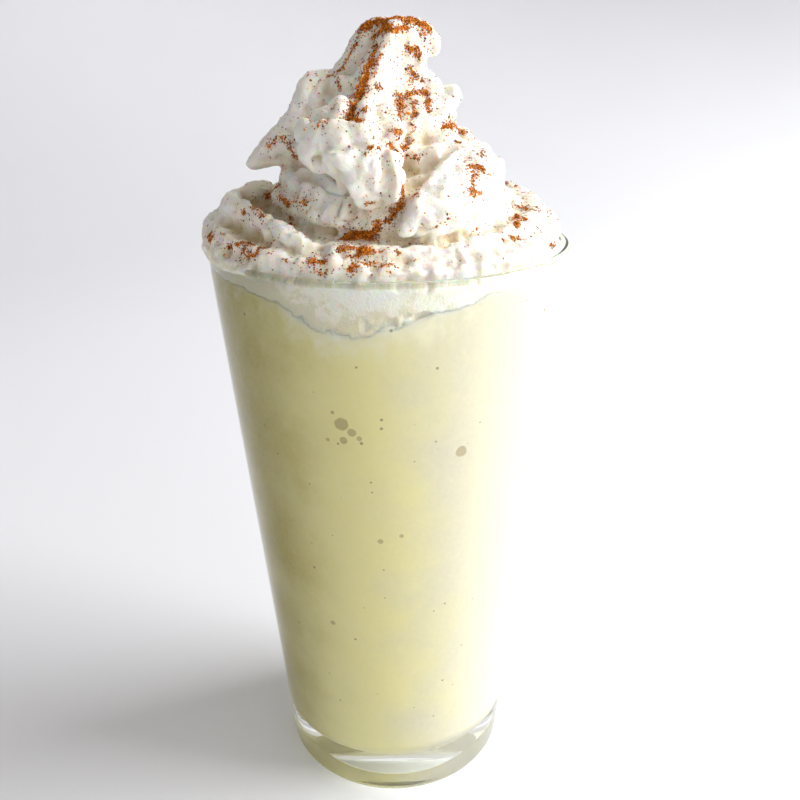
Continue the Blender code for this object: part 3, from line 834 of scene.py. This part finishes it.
def drink_material(mesh):
    """Creamy drink: cloudy colour darkened on its left by painted shade and paled on its right by painted
    light, froth above a stored line, bubbles against the glass darkened by painted shade in their pits, and
    dark flecks.
    """
    colors = bpy.context.scene.milkshake_drink
    material, nodes, shader, _ = new_material("creamy drink")
    place = nodes.position()
    across = nodes.add("ShaderNodeSeparateXYZ")
    nodes.link(place, across.inputs[0])
    cloud = nodes.math("MULTIPLY", nodes.math("SUBTRACT", nodes.noise(place, 60.0, 3.0), 0.5), 0.03)
    side = nodes.math("ADD", across.outputs["X"], cloud)
    grain = nodes.ramp(nodes.noise(place, 900.0, 2.0), 0.3, 0.7)
    # Painted shade and painted light: by each point's x, the colour darkens to the left as painted shade and
    # pales to the right as painted light.
    color = nodes.mix(nodes.ramp(side, -0.040, -0.010), plain(colors.painted_shade_left), plain(colors.middle))
    color = nodes.mix(nodes.ramp(side, -0.008, 0.018), color, plain(colors.painted_light_right))
    color = nodes.mix(nodes.math("MULTIPLY", grain, 0.12), color, (0.9, 0.88, 0.68, 1.0))
    froth = nodes.add("ShaderNodeAttribute", attribute_name="froth").outputs["Fac"]
    ragged = nodes.ramp(nodes.noise(place, 230.0, 4.0, 0.65, 0.4), 0.32, 0.68)
    froth = nodes.ramp(nodes.math("ADD", froth, nodes.math("MULTIPLY", ragged, 0.5)), 0.3, 1.35)
    color = nodes.mix(froth, color, plain(colors.froth))
    bubble = None
    tree = surface_tree(mesh)
    pane = surface_tree(bpy.data.objects["glass_tumbler"].data)
    for part, mark, radius in BUBBLES:
        gap = nodes.add("ShaderNodeVectorMath", operation="DISTANCE")
        nodes.link(place, gap.inputs[0])
        gap.inputs[1].default_value = carried(tree, part, [mark], pane=pane)[0] * MM
        wobble = nodes.math("MULTIPLY", nodes.noise(place, 700.0), 0.5 * radius * MM)
        edge = nodes.math("ADD", gap.outputs["Value"], wobble)
        inside = nodes.ramp(edge, 1.7 * radius * MM, 1.45 * radius * MM)
        bubble = inside if bubble is None else nodes.math("MAXIMUM", bubble, inside)
    # Painted shade: the bubble pits are darkened to tan.
    color = nodes.mix(nodes.math("MULTIPLY", bubble, 0.55), color, (0.34, 0.24, 0.08, 1.0))
    fine = specks(nodes, place, 420.0, 0.16, 0.16)
    coarse = specks(nodes, place, 150.0, 0.08, 0.10)
    flecks = nodes.math("MULTIPLY", nodes.math("MAXIMUM", fine, coarse), 0.65)
    color = nodes.mix(flecks, color, plain(colors.fleck))
    nodes.link(color, shader.inputs["Base Color"])
    shader.inputs["Roughness"].default_value = 0.4
    shader.inputs["Subsurface Weight"].default_value = 1.0
    shader.inputs["Subsurface Scale"].default_value = 1.0
    shader.inputs["Subsurface Radius"].default_value = (0.0032, 0.003, 0.0022)
    bump = nodes.add("ShaderNodeBump")
    bump.inputs["Distance"].default_value = 0.15 * MM
    bump.inputs["Strength"].default_value = 0.5
    nodes.link(nodes.math("SUBTRACT", nodes.noise(place, 500.0, 3.0), bubble), bump.inputs["Height"])
    nodes.link(bump.outputs[0], shader.inputs["Normal"])
    return material


def cream_material():
    """Whipped cream: white with painted warm shade in its hollows, tinted against the wall by soaking drink
    and painted shade, stained where cinnamon lies, with a warm fringe that is partly painted shade, finely
    pitted.
    """
    colors = bpy.context.scene.milkshake_cream
    spice = bpy.context.scene.milkshake_cinnamon
    material, nodes, shader, _ = new_material("whipped cream")
    place = nodes.position()
    mottle = nodes.ramp(nodes.noise(place, 120.0, 3.0), 0.35, 0.7)
    color = nodes.mix(mottle, plain(colors.color), (0.95, 0.93, 0.87, 1.0))
    hollow = nodes.add("ShaderNodeAttribute", attribute_name="hollow").outputs["Fac"]
    # Painted shade: a warm brown in the hollows.
    color = nodes.mix(nodes.math("MULTIPLY", hollow, 0.9), color, (0.60, 0.45, 0.22, 1.0))
    soak_and_shade = nodes.add("ShaderNodeAttribute", attribute_name="soak_and_shade").outputs["Fac"]
    # Drink soaking into the cream at the wall, broken up by crags with painted shade between them; the mask
    # also holds the painted dark line along the lip.
    crags = nodes.ramp(nodes.noise(place, 300.0, 4.0, 0.65, 0.4), 0.35, 0.65)
    soak_shade_mix = nodes.ramp(nodes.math("ADD", soak_and_shade, nodes.math("MULTIPLY", crags, 0.8)), 0.55, 1.2)
    color = nodes.mix(nodes.math("MULTIPLY", soak_shade_mix, 0.85), color, (0.78, 0.75, 0.58, 1.0))
    dusted = nodes.add("ShaderNodeAttribute", attribute_name="dusted").outputs["Fac"]
    clumps = nodes.ramp(nodes.noise(place, 1300.0, 3.0, 0.65), 0.35, 0.65)
    patches = nodes.ramp(nodes.noise(place, 420.0, 2.0, 0.5), 0.35, 0.65)
    broken = nodes.math("ADD", nodes.math("MULTIPLY", clumps, 0.42), nodes.math("MULTIPLY", patches, 0.38))
    stain = nodes.ramp(nodes.math("ADD", dusted, broken), 1.02, 1.18)
    # A warm fringe round the dusted patches: partly cinnamon dust, partly painted warm shade on the cream.
    dust_haze_and_shade = nodes.ramp(nodes.math("ADD", dusted, broken), 0.7, 1.3, 0.0, 0.4)
    powder = nodes.ramp(nodes.noise(place, 700.0, 2.0), 0.35, 0.65)
    tint = nodes.mix(powder, plain(spice.light), (0.36, 0.09, 0.01, 1.0))
    # A faint warm tint near the dusted lines: partly cinnamon dust, partly painted warm shade.
    near = nodes.add("ShaderNodeAttribute", attribute_name="near").outputs["Fac"]
    color = nodes.mix(nodes.math("MULTIPLY", near, 0.3), color, (0.80, 0.60, 0.38, 1.0))
    color = nodes.mix(dust_haze_and_shade, color, (0.86, 0.52, 0.22, 1.0))
    color = nodes.mix(nodes.math("MULTIPLY", stain, 0.9), color, tint)
    fine = specks(nodes, place, 900.0, 0.03, 0.16)
    color = nodes.mix(nodes.math("MULTIPLY", fine, 0.6), color, (0.10, 0.05, 0.02, 1.0))
    nodes.link(color, shader.inputs["Base Color"])
    shader.inputs["Roughness"].default_value = 0.55
    shader.inputs["Subsurface Weight"].default_value = 1.0
    shader.inputs["Subsurface Scale"].default_value = 1.0
    shader.inputs["Subsurface Radius"].default_value = (0.0009, 0.0005, 0.0002)
    shader.inputs["Specular IOR Level"].default_value = 0.25
    bump = nodes.add("ShaderNodeBump")
    bump.inputs["Distance"].default_value = 0.25 * MM
    bump.inputs["Strength"].default_value = 0.6
    pits = nodes.math("ADD", nodes.noise(place, 700.0, 4.0, 0.6), nodes.noise(place, 1800.0, 2.0))
    nodes.link(pits, bump.inputs["Height"])
    nodes.link(bump.outputs[0], shader.inputs["Normal"])
    return material


def grain_material():
    """Ground cinnamon, each grain its own brown from a stored random value."""
    spice = bpy.context.scene.milkshake_cinnamon
    material, nodes, shader, _ = new_material("ground cinnamon")
    shade = nodes.add("ShaderNodeAttribute", attribute_name="shade").outputs["Fac"]
    nodes.link(nodes.mix(shade, plain(spice.dark), plain(spice.light)), shader.inputs["Base Color"])
    shader.inputs["Roughness"].default_value = 0.85
    shader.inputs["Specular IOR Level"].default_value = 0.1
    return material


def stage_material(name, color):
    """Matt paper with a faint unevenness."""
    material, nodes, shader, _ = new_material(name)
    tone = nodes.ramp(nodes.noise(nodes.position(), 3.0, 2.0), 0.3, 0.7)
    darker = tuple(c * 0.985 for c in color) + (1.0,)
    nodes.link(nodes.mix(tone, darker, plain(color)), shader.inputs["Base Color"])
    shader.inputs["Roughness"].default_value = 0.9
    return material


class MILKSHAKE_OT_glass(bpy.types.Operator):
    """Makes the glass in place of the frame's faceted one"""

    bl_idname = "milkshake.glass"
    bl_label = "Glass"

    def execute(self, context):
        glass = context.scene.milkshake_glass
        top = glass.height / MM
        rim = glass.rim_radius / MM
        wall = glass.wall_at_rim / MM
        edge = glass.foot_edge / MM
        foot = outer_radius(edge) - edge
        recess = glass.recess / MM
        share = np.linspace(0, 1, 24)
        dome = np.stack([glass.dome_radius / MM * share, recess + glass.dome / MM * (1 - share**2)], axis=1)
        ring = np.array([[foot - 1.5 - recess, recess], [foot - 1.5, 0]])
        under = np.vstack([dome, ring])
        turn = np.linspace(-np.pi / 2, 0, 10)
        foot_round = np.stack([foot + edge * np.cos(turn), edge + edge * np.sin(turn)], axis=1)
        side_z = np.linspace(edge, top - wall / 2, 30)[1:]
        side = np.stack([outer_radius(side_z), side_z], axis=1)
        turn = np.linspace(0, np.pi, 16)[1:]
        half = wall / 2
        lip = np.stack([rim - half + half * np.cos(turn), top - half + half * np.sin(turn)], axis=1)
        corner = corner_profile(0.0, 16)[::-1]
        inner_z = np.linspace(top - wall / 2, corner[0, 1], 30)[1:-1]
        inside = np.stack([inner_radius(inner_z), inner_z], axis=1)
        floor = np.stack([np.linspace(corner[-1, 0], 0, 6)[1:], np.full(5, glass.floor / MM)], axis=1)
        profile = np.vstack([under, foot_round, side, lip, inside, corner, floor])
        points, faces = turned(profile, 256)
        mesh = new_mesh("glass_tumbler", points, faces)
        add_piece("glass_tumbler", mesh, glass_material(), "glass", "glass")
        return {"FINISHED"}


class MILKSHAKE_OT_drink(bpy.types.Operator):
    """Makes the drink, which reaches just into the wall so that no air shows"""

    bl_idname = "milkshake.drink"
    bl_label = "Milkshake"

    def execute(self, context):
        columns = 320
        turn = np.linspace(0, 2 * np.pi, columns, endpoint=False)
        line = wall_line(turn)
        corner = corner_profile(INTO_WALL, 16)
        floor_z = corner[0, 1]
        rows = [(np.full(columns, corner[0, 0] * s), np.full(columns, floor_z)) for s in (0.25, 0.5, 0.75)]
        rows += [(np.full(columns, r), np.full(columns, z)) for r, z in corner]
        for share in np.linspace(0, 1, 90)[1:]:
            height = corner[-1, 1] + (line - corner[-1, 1]) * share
            rows.append((inner_radius(height) + INTO_WALL, height))
        for reach in np.linspace(1, 0, 30)[1:-1]:
            height = DRINK_TOP + (line - DRINK_TOP) * reach**CLIMB_POWER
            rows.append((reach * (inner_radius(line) + INTO_WALL), height))
        radius = np.array([r for r, _ in rows])
        height = np.array([z for _, z in rows])
        rings = np.stack([radius * np.cos(turn), radius * np.sin(turn), height], axis=-1)
        points, faces = closed_body(rings, (0, 0, floor_z), (0, 0, DRINK_TOP))
        mesh = new_mesh("milkshake_drink", points, faces)
        line = wall_line(np.arctan2(points[:, 1], points[:, 0]))
        near = 1.0 - np.clip((line - points[:, 2]) / FROTH_DEPTH, 0, 1)
        white = np.clip((DRINK_AT_WALL - line) / 4.0, 0.35, 1)
        set_value(mesh, "froth", near * white)
        add_piece("milkshake_drink", mesh, drink_material(mesh), "milkshake", "milkshake")
        return {"FINISHED"}


def cream_bodies():
    """The cream's overlapping forms: fill, wound rope, peak, folds, scroll and ledges."""
    cream = bpy.context.scene.milkshake_cream
    bottom = [(0, CORE_BOTTOM), (inner_radius(CORE_BOTTOM), CORE_BOTTOM)]
    yield turned([*bottom, *CORE_PROFILE, (0, CORE_PROFILE[-1][1] + 1)], 90)
    path = along(ROPE_COURSE, ROPE_STEPS)
    turn = np.pi + 0.5 * np.pi * np.linspace(0.0, len(ROPE_COURSE) - 1, ROPE_STEPS)
    points = np.stack([path[:, 0] * np.cos(turn), path[:, 0] * np.sin(turn), path[:, 1]], axis=1)
    yield rope(points, path[:, 2], 64, 1.0, cream.flutes, cream.flute_depth, 3.0, cream.ruffle_depth, 4.6)
    levels = along(PEAK_LEVELS, 60)
    turn = np.linspace(0, 2 * np.pi, 120, endpoint=False)
    swell = np.ones(120)
    for towards, height, width in PEAK_EDGES:
        off = (np.degrees(turn) - towards + 180) % 360 - 180
        swell += height * np.exp(-((off / width) ** 2))
    reach = levels[:, 3:] * swell
    rings = np.stack(
        [
            levels[:, 1:2] + reach * np.cos(turn),
            levels[:, 2:3] + reach * np.sin(turn),
            np.repeat(levels[:, :1], 120, axis=1),
        ],
        axis=-1,
    )
    yield closed_body(rings, levels[0, [1, 2, 0]], levels[-1, [1, 2, 0]])
    yield fold(SCROLL_EDGE, SCROLL_STANDS)
    for course in FOLDS.values():
        yield fold(course)
    for x, z, radius in LEDGES:
        run = LEDGE_WIDTH * radius
        yield fold([(x - radius, side * run, z - abs(side), radius) for side in (-1, 0, 1)])


def run_together(bodies, voxel, rounds):
    """One mesh from overlapping bodies: joined, voxel remeshed and smoothed this many rounds."""
    points = []
    faces = []
    count = 0
    for body_points, body_faces in bodies:
        faces += [[i + count for i in face] for face in body_faces]
        points.append(body_points)
        count += len(body_points)
    obj = bpy.data.objects.new("joined", new_mesh("joined", np.vstack(points), faces))
    bpy.context.scene.collection.objects.link(obj)
    remesh = obj.modifiers.new("run together", "REMESH")
    remesh.mode = "VOXEL"
    remesh.voxel_size = voxel
    smooth = obj.modifiers.new("soften", "SMOOTH")
    smooth.factor = 0.5
    smooth.iterations = rounds
    bpy.context.view_layer.update()
    mesh = bpy.data.meshes.new_from_object(obj.evaluated_get(bpy.context.evaluated_depsgraph_get()))
    bpy.data.objects.remove(obj)
    return mesh


def read_points(mesh):
    """A mesh's points in mm and its point normals."""
    points = np.empty(len(mesh.vertices) * 3)
    mesh.vertices.foreach_get("co", points)
    normals = np.empty(len(mesh.vertices) * 3)
    mesh.vertex_normals.foreach_get("vector", normals)
    return points.reshape(-1, 3) / MM, normals.reshape(-1, 3)


def write_points(mesh, points):
    """Moves a mesh's points to these places in mm."""
    mesh.vertices.foreach_set("co", (points * MM).ravel())
    mesh.update()


def set_value(mesh, name, values):
    """Stores one number for each point."""
    mesh.attributes.new(name, "FLOAT", "POINT").data.foreach_set("value", values.astype(np.float32))


def surface_tree(mesh):
    """A search tree of a mesh's faces, for the rays of carried()."""
    obj = bpy.data.objects.new("traced on", mesh)
    bpy.context.scene.collection.objects.link(obj)
    bpy.context.view_layer.update()
    tree = BVHTree.FromObject(obj, bpy.context.evaluated_depsgraph_get())
    bpy.data.objects.remove(obj)
    return tree


def bent(ray, normal):
    """A ray's way on after it enters the glass, by Snell's law."""
    facing = -ray.dot(normal)
    share = 1 / GLASS_INDEX
    return share * ray + (share * facing - math.sqrt(1 - share**2 * (1 - facing**2))) * normal


def carried(tree, part, marks, longest=math.inf, pane=None):
    """Where marks traced on an enlarged part of the photo lie on a surface, in mm: the first hit of the
    camera's ray through each, which a pane in front of it bends. A run longer than this many of the photo's
    pixels is divided, and a mark whose ray misses is left out."""
    left, top, times = TRACED_ON[part]
    marks = [Vector((left + x / times, top + y / times)) for x, y in marks]
    fine = marks[:1]
    for start, end in zip(marks[:-1], marks[1:]):
        steps = max(1, round((end - start).length / longest))
        fine += [start.lerp(end, step / steps) for step in range(1, steps + 1)]
    middle = PHOTO_SIDE / 2
    reach = PHOTO_SIDE * CAMERA_LENS / CAMERA_SENSOR
    places = []
    for x, y in fine:
        begin = Vector(CAMERA_PLACE) * MM
        ray = (camera_turn() @ Vector((x - middle, middle - y, -reach))).normalized()
        if pane:
            begin, normal, _, _ = pane.ray_cast(begin, ray)
            ray = bent(ray, normal)
        hit = tree.ray_cast(begin, ray)[0]
        if hit:
            places.append(hit / MM)
    return places


def relieved(points, normals, tree):
    """Ridges and creases: points move along their normals by each line's height, which falls off with the
    distance from the line as exp(-(distance / width)^1.4)."""
    height = np.zeros(len(points))
    for part, marks, width, rise in RELIEF.values():
        away = distance_to_line(points, carried(tree, part, marks))
        height += rise * np.exp(-((away / width) ** 1.4))
    return points + normals * height[:, None]


def lumps(points, normals, depth):
    """Uneven relief: broad lumps, smaller ones, and ridged noise whose crests stand up like torn edges. It
    is stronger low down, where the cream was spread, than on the smooth folds above."""
    broad = value_noise(points, 6.5, 1) + 0.8 * value_noise(points, 3.0, 2)
    torn = 1 - 2 * np.abs(value_noise(points, 3.4, 3) + 0.4 * value_noise(points, 1.6, 5))
    pits = np.minimum(value_noise(points, 1.3, 4), 0.15)
    low = 1 - 0.4 * np.clip((points[:, 2] - 160) / 14, 0, 1)
    height = 0.6 * broad + low * (0.5 * torn * np.abs(torn) + 0.6 * pits)
    return points + normals * (depth * height)[:, None]


def keep_in_glass(points):
    """Below the lip, brings points that lie outside the cavity or near its wall onto the wall's surface, so
    that the cream lies against the glass, and further in below the drink's line, where the drink hides it."""
    rim = bpy.context.scene.milkshake_glass.height / MM
    radius = np.hypot(points[:, 0], points[:, 1])
    line = wall_line(np.arctan2(points[:, 1], points[:, 0]))
    sunk = np.clip((line - 0.9 - points[:, 2]) / 0.5, 0, 1)
    wall = inner_radius(points[:, 2]) + 1.5 * INTO_WALL - 1.2 * sunk
    below = points[:, 2] < rim - 1.4
    held = below & (radius > wall - 0.5)
    scale = np.where(held, wall / np.maximum(radius, 1e-6), 1.0)
    return points * np.stack([scale, scale, np.ones_like(scale)], axis=1)


class MILKSHAKE_OT_cream(bpy.types.Operator):
    """Makes the whipped cream in place of the frame's faceted one"""

    bl_idname = "milkshake.cream"
    bl_label = "Whipped cream"

    def execute(self, context):
        cream = context.scene.milkshake_cream
        voxel = cream.voxel * 1.0
        mesh = run_together(cream_bodies(), voxel, 2)
        points, normals = read_points(mesh)
        write_points(mesh, relieved(points, normals, surface_tree(mesh)))
        points, normals = read_points(mesh)
        points = lumps(points, normals, cream.lump_depth / MM)
        points = np.clip(keep_in_glass(points), np.array(cad_low) / MM + 0.15, np.array(cad_high) / MM - 0.15)
        write_points(mesh, points)
        points, _ = read_points(mesh)
        # Hollow depth, which the material uses for painted shade in the hollows.
        set_value(mesh, "hollow", hollows(mesh, points))
        set_value(mesh, "soak_and_shade", soak_and_shade(points))
        thick, near = dusting(points, surface_tree(mesh))
        set_value(mesh, "dusted", thick)
        set_value(mesh, "near", near)
        add_piece("whipped_cream_swirl", mesh, cream_material(), "whipped_cream", "whipped_cream")
        return {"FINISHED"}


def hollows(mesh, points):
    """How far each point lies in a hollow, from 0 to 1: the mean of its neighbours' places, taken many times
    over, stands out from the surface there along the normal."""
    edges = np.empty(len(mesh.edges) * 2, dtype=np.int64)
    mesh.edges.foreach_get("vertices", edges)
    one, other = edges.reshape(-1, 2).T
    count = np.bincount(np.concatenate([one, other]), minlength=len(points))[:, None]
    mean = points
    for _ in range(30):
        total = np.stack(
            [
                np.bincount(one, mean[other, k], len(points)) + np.bincount(other, mean[one, k], len(points))
                for k in range(3)
            ],
            axis=1,
        )
        mean = total / count
    _, normals = read_points(mesh)
    out = np.einsum("ij,ij->i", mean - points, normals)
    return np.clip(out / 1.6, 0, 1)


def soak_and_shade(points):
    """How much the cream that lies against the wall is tinted, from 0 to 1: by drink soaking into it, all of
    it at the drink's line on the left, less by the height above it and towards the right, and by a Gaussian
    line of painted shade along the lip."""
    line = wall_line(np.arctan2(points[:, 1], points[:, 0]))
    pressed = np.hypot(points[:, 0], points[:, 1]) > inner_radius(points[:, 2]) - 0.6
    rim = bpy.context.scene.milkshake_glass.height / MM
    # Painted shade: a dark line where the cream meets the glass's lip.
    lip = np.exp(-(((points[:, 2] - rim + 1.3) / 0.4) ** 2))
    left = np.clip(0.75 - points[:, 0] / 30.0, 0.25, 1)
    return np.maximum(left * np.clip(1.1 - (points[:, 2] - line) / 8.0, 0, 1), lip) * pressed


def distance_to_line(points, line):
    """Distance from each point to the nearest of a line's straight runs."""
    line = np.asarray(line, dtype=float)
    nearest = np.full(len(points), 1e9)
    for start, end in zip(line, line[1:] if len(line) > 1 else line):
        run = end - start
        share = np.clip((points - start) @ run / max(run @ run, 1e-9), 0, 1)
        nearest = np.minimum(nearest, np.linalg.norm(points - start - share[:, None] * run, axis=1))
    return nearest


def dusting(points, tree):
    """How thickly cinnamon lies at each point, from 0 to 1, and how near a patch it is: both fall off with
    the distance from a dusted line as Gaussians with a ragged edge, the second 3.5 times as wide."""
    above = points[:, 2] > 150.5
    ragged = 1.1 + 0.55 * value_noise(points, 2.4, 7) + 0.45 * value_noise(points, 1.2, 8)
    thick = np.zeros(len(points))
    near = np.zeros(len(points))
    lines = list(DUSTED_BEHIND)
    for part, marks, width, amount in DUSTED:
        lines.append((carried(tree, part, marks, DUSTED_STEP), DUSTED_SPREAD * width, amount))
    for line, width, amount in lines:
        away = distance_to_line(points, line) / (width * np.maximum(ragged, 0.2))
        thick = np.maximum(thick, amount * np.exp(-(away**2)))
        near = np.maximum(near, amount * np.exp(-((away / 3.5) ** 2)))
    return thick * above, near * above


def grain_shape():
    """A grain: a squashed octahedron."""
    points = np.array([(1, 0, 0), (0, 1, 0), (-1, 0, 0), (0, -1, 0), (0, 0, 0.6), (0, 0, -0.6)], dtype=float)
    faces = np.array([(0, 1, 4), (1, 2, 4), (2, 3, 4), (3, 0, 4), (1, 0, 5), (2, 1, 5), (3, 2, 5), (0, 3, 5)])
    return points, faces


class MILKSHAKE_OT_cinnamon(bpy.types.Operator):
    """Scatters grains of cinnamon over the cream, thickly in its dusted patches"""

    bl_idname = "milkshake.cinnamon"
    bl_label = "Cinnamon"

    def execute(self, context):
        spice = context.scene.milkshake_cinnamon
        draw = np.random.default_rng(11)
        mesh = bpy.data.objects["whipped_cream_swirl"].data
        points, normals = read_points(mesh)
        dusted = np.empty(len(points))
        mesh.attributes["dusted"].data.foreach_get("value", dusted)
        near = np.empty(len(points))
        mesh.attributes["near"].data.foreach_get("value", near)
        corners = np.empty(len(mesh.loops), dtype=np.int64)
        mesh.loops.foreach_get("vertex_index", corners)
        quads = corners.reshape(-1, 4)
        facing = np.clip(normals[:, 2] + 0.35, 0.05, 1.0)
        weight = (np.clip(dusted - 0.2, 0, 1) ** 1.2 + 0.03 * near + 0.0035 * facing) * (points[:, 2] > 150.6)
        chance = weight[quads].mean(axis=1)
        picked = draw.choice(len(quads), spice.grains, p=chance / chance.sum())
        share = draw.dirichlet(np.ones(4), spice.grains)[:, :, None]
        places = (points[quads[picked]] * share).sum(axis=1)
        up = (normals[quads[picked]] * share).sum(axis=1)
        up /= np.linalg.norm(up, axis=1)[:, None]
        side = np.cross(up, draw.normal(size=up.shape))
        side /= np.linalg.norm(side, axis=1)[:, None]
        ahead = np.cross(up, side)
        size = spice.grain_size / MM * np.exp(draw.normal(0, 0.35, spice.grains))
        stretch = size[:, None] * draw.uniform([0.7, 0.9, 0.5], [1.2, 1.6, 1.0], (spice.grains, 3))
        shape, faces = grain_shape()
        local = shape[None] * stretch[:, None, :]
        grains = (
            places[:, None]
            + local[:, :, :1] * side[:, None]
            + local[:, :, 1:2] * ahead[:, None]
            + (local[:, :, 2:] + 0.25 * size[:, None, None]) * up[:, None]
        )
        grains = np.clip(grains, np.array(cad_low) / MM, np.array(cad_high) / MM)
        all_faces = (faces[None] + len(shape) * np.arange(spice.grains)[:, None, None]).reshape(-1, 3)
        grain_mesh = new_mesh("cinnamon_grains", grains.reshape(-1, 3), all_faces)
        set_value(grain_mesh, "shade", np.repeat(draw.uniform(0, 1, spice.grains) ** 1.3, len(shape)))
        add_piece("cinnamon_grains", grain_mesh, grain_material(), "whipped_cream")
        return {"FINISHED"}


class MILKSHAKE_OT_stage(bpy.types.Operator):
    """Makes the floor, the lights and the camera"""

    bl_idname = "milkshake.stage"
    bl_label = "Stage"

    def execute(self, context):
        stage = context.scene.milkshake_stage
        flat, rise = 700.0, 1700.0
        turn = np.linspace(-np.pi / 2, 0, 48)
        sweep = np.stack([flat + rise * np.cos(turn), rise + rise * np.sin(turn)], axis=1)
        profile = np.vstack([np.stack([np.linspace(0, flat, 12)[:-1], np.zeros(11)], axis=1), sweep])
        columns = 96
        round_turn = np.linspace(0, 2 * np.pi, columns, endpoint=False)
        rings = np.stack(
            [
                profile[:, :1] * np.cos(round_turn),
                profile[:, :1] * np.sin(round_turn),
                np.repeat(profile[:, 1:], columns, axis=1),
            ],
            axis=-1,
        )
        mesh = new_mesh("studio_floor", rings.reshape(-1, 3), ring_faces(len(profile), columns)[:, ::-1])
        mesh.materials.append(stage_material("studio paper", stage.floor))
        mesh.shade_smooth()
        floor = bpy.data.objects.new("studio_floor", mesh)
        context.scene.collection.objects.link(floor)
        floor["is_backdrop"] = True
        add_light("key_light", (1275, 60, 900), 1050, stage.key_power, (1.0, 1.0, 1.0))
        add_light("front_light", (800, -750, 400), 1200, stage.front_power, (1.0, 0.98, 0.96))
        add_light("top_light", (-150, 900, 1100), 1500, stage.top_power, (1.0, 1.0, 1.0), (-300, 300, 0))
        white = (1.0, 1.0, 1.0)
        add_light("backdrop_light", (-300, 1300, 900), 900, stage.backdrop_power, white, (-100, 2400, 300))
        add_camera(context)
        world = bpy.data.worlds.new("soft daylight")
        world.use_nodes = True
        world.node_tree.nodes["Background"].inputs["Color"].default_value = (1.0, 0.84, 0.64, 1.0)
        world.node_tree.nodes["Background"].inputs["Strength"].default_value = stage.sky
        context.scene.world = world
        context.scene.view_settings.view_transform = "Standard"
        return {"FINISHED"}


def add_light(name, place, size, power, color, target=(0, 0, 100)):
    """A square area light in mm, aimed at the target."""
    light = bpy.data.lights.new(name, "AREA")
    light.size = size * MM
    light.energy = power
    light.color = color
    obj = bpy.data.objects.new(name, light)
    bpy.context.scene.collection.objects.link(obj)
    obj.location = Vector(place) * MM
    aim = Vector(target) * MM - obj.location
    obj.rotation_euler = aim.to_track_quat("-Z", "Y").to_euler()
    return obj


def camera_turn():
    """The way the camera faces: turned to the right, tipped down and rolled."""
    heading = Matrix.Rotation(-CAMERA_RIGHT, 3, "Z") @ Matrix.Rotation(math.pi / 2 - CAMERA_DOWN, 3, "X")
    return heading @ Matrix.Rotation(CAMERA_ROLL, 3, "Z")


def add_camera(context):
    """The camera at the place, heading and roll that fit the glass."""
    camera = bpy.data.cameras.new("camera")
    camera.sensor_width = CAMERA_SENSOR
    camera.lens = CAMERA_LENS
    camera.clip_start = 0.01
    obj = bpy.data.objects.new("camera", camera)
    context.scene.collection.objects.link(obj)
    obj.matrix_world = Matrix.Translation(Vector(CAMERA_PLACE) * MM) @ camera_turn().to_4x4()
    context.scene.camera = obj


class MILKSHAKE_PT_sidebar(bpy.types.Panel):
    """Lists the pieces and their settings."""

    bl_label = "Milkshake"
    bl_idname = "MILKSHAKE_PT_sidebar"
    bl_space_type = "VIEW_3D"
    bl_region_type = "UI"
    bl_category = "Milkshake"

    def draw(self, context):
        for operator, group in STEPS:
            box = self.layout.box()
            box.operator(operator.bl_idname)
            settings = getattr(context.scene, group)
            for name in settings.bl_rna.properties.keys():
                if name not in ("rna_type", "name"):
                    box.prop(settings, name)


STEPS = [
    (MILKSHAKE_OT_glass, "milkshake_glass"),
    (MILKSHAKE_OT_drink, "milkshake_drink"),
    (MILKSHAKE_OT_cream, "milkshake_cream"),
    (MILKSHAKE_OT_cinnamon, "milkshake_cinnamon"),
    (MILKSHAKE_OT_stage, "milkshake_stage"),
]
SETTINGS = {
    "milkshake_glass": GlassSettings,
    "milkshake_drink": DrinkSettings,
    "milkshake_cream": CreamSettings,
    "milkshake_cinnamon": CinnamonSettings,
    "milkshake_stage": StageSettings,
}


def register():
    for name, settings in SETTINGS.items():
        bpy.utils.register_class(settings)
        setattr(bpy.types.Scene, name, PointerProperty(type=settings))
    for operator, _ in STEPS:
        bpy.utils.register_class(operator)
    bpy.utils.register_class(MILKSHAKE_PT_sidebar)


def unregister():
    bpy.utils.unregister_class(MILKSHAKE_PT_sidebar)
    for operator, _ in reversed(STEPS):
        bpy.utils.unregister_class(operator)
    for name, settings in reversed(SETTINGS.items()):
        delattr(bpy.types.Scene, name)
        bpy.utils.unregister_class(settings)


def main():
    register()
    bpy.ops.milkshake.glass()
    bpy.ops.milkshake.drink()
    bpy.ops.milkshake.cream()
    bpy.ops.milkshake.cinnamon()
    bpy.ops.milkshake.stage()


if __name__ == "__main__":
    main()
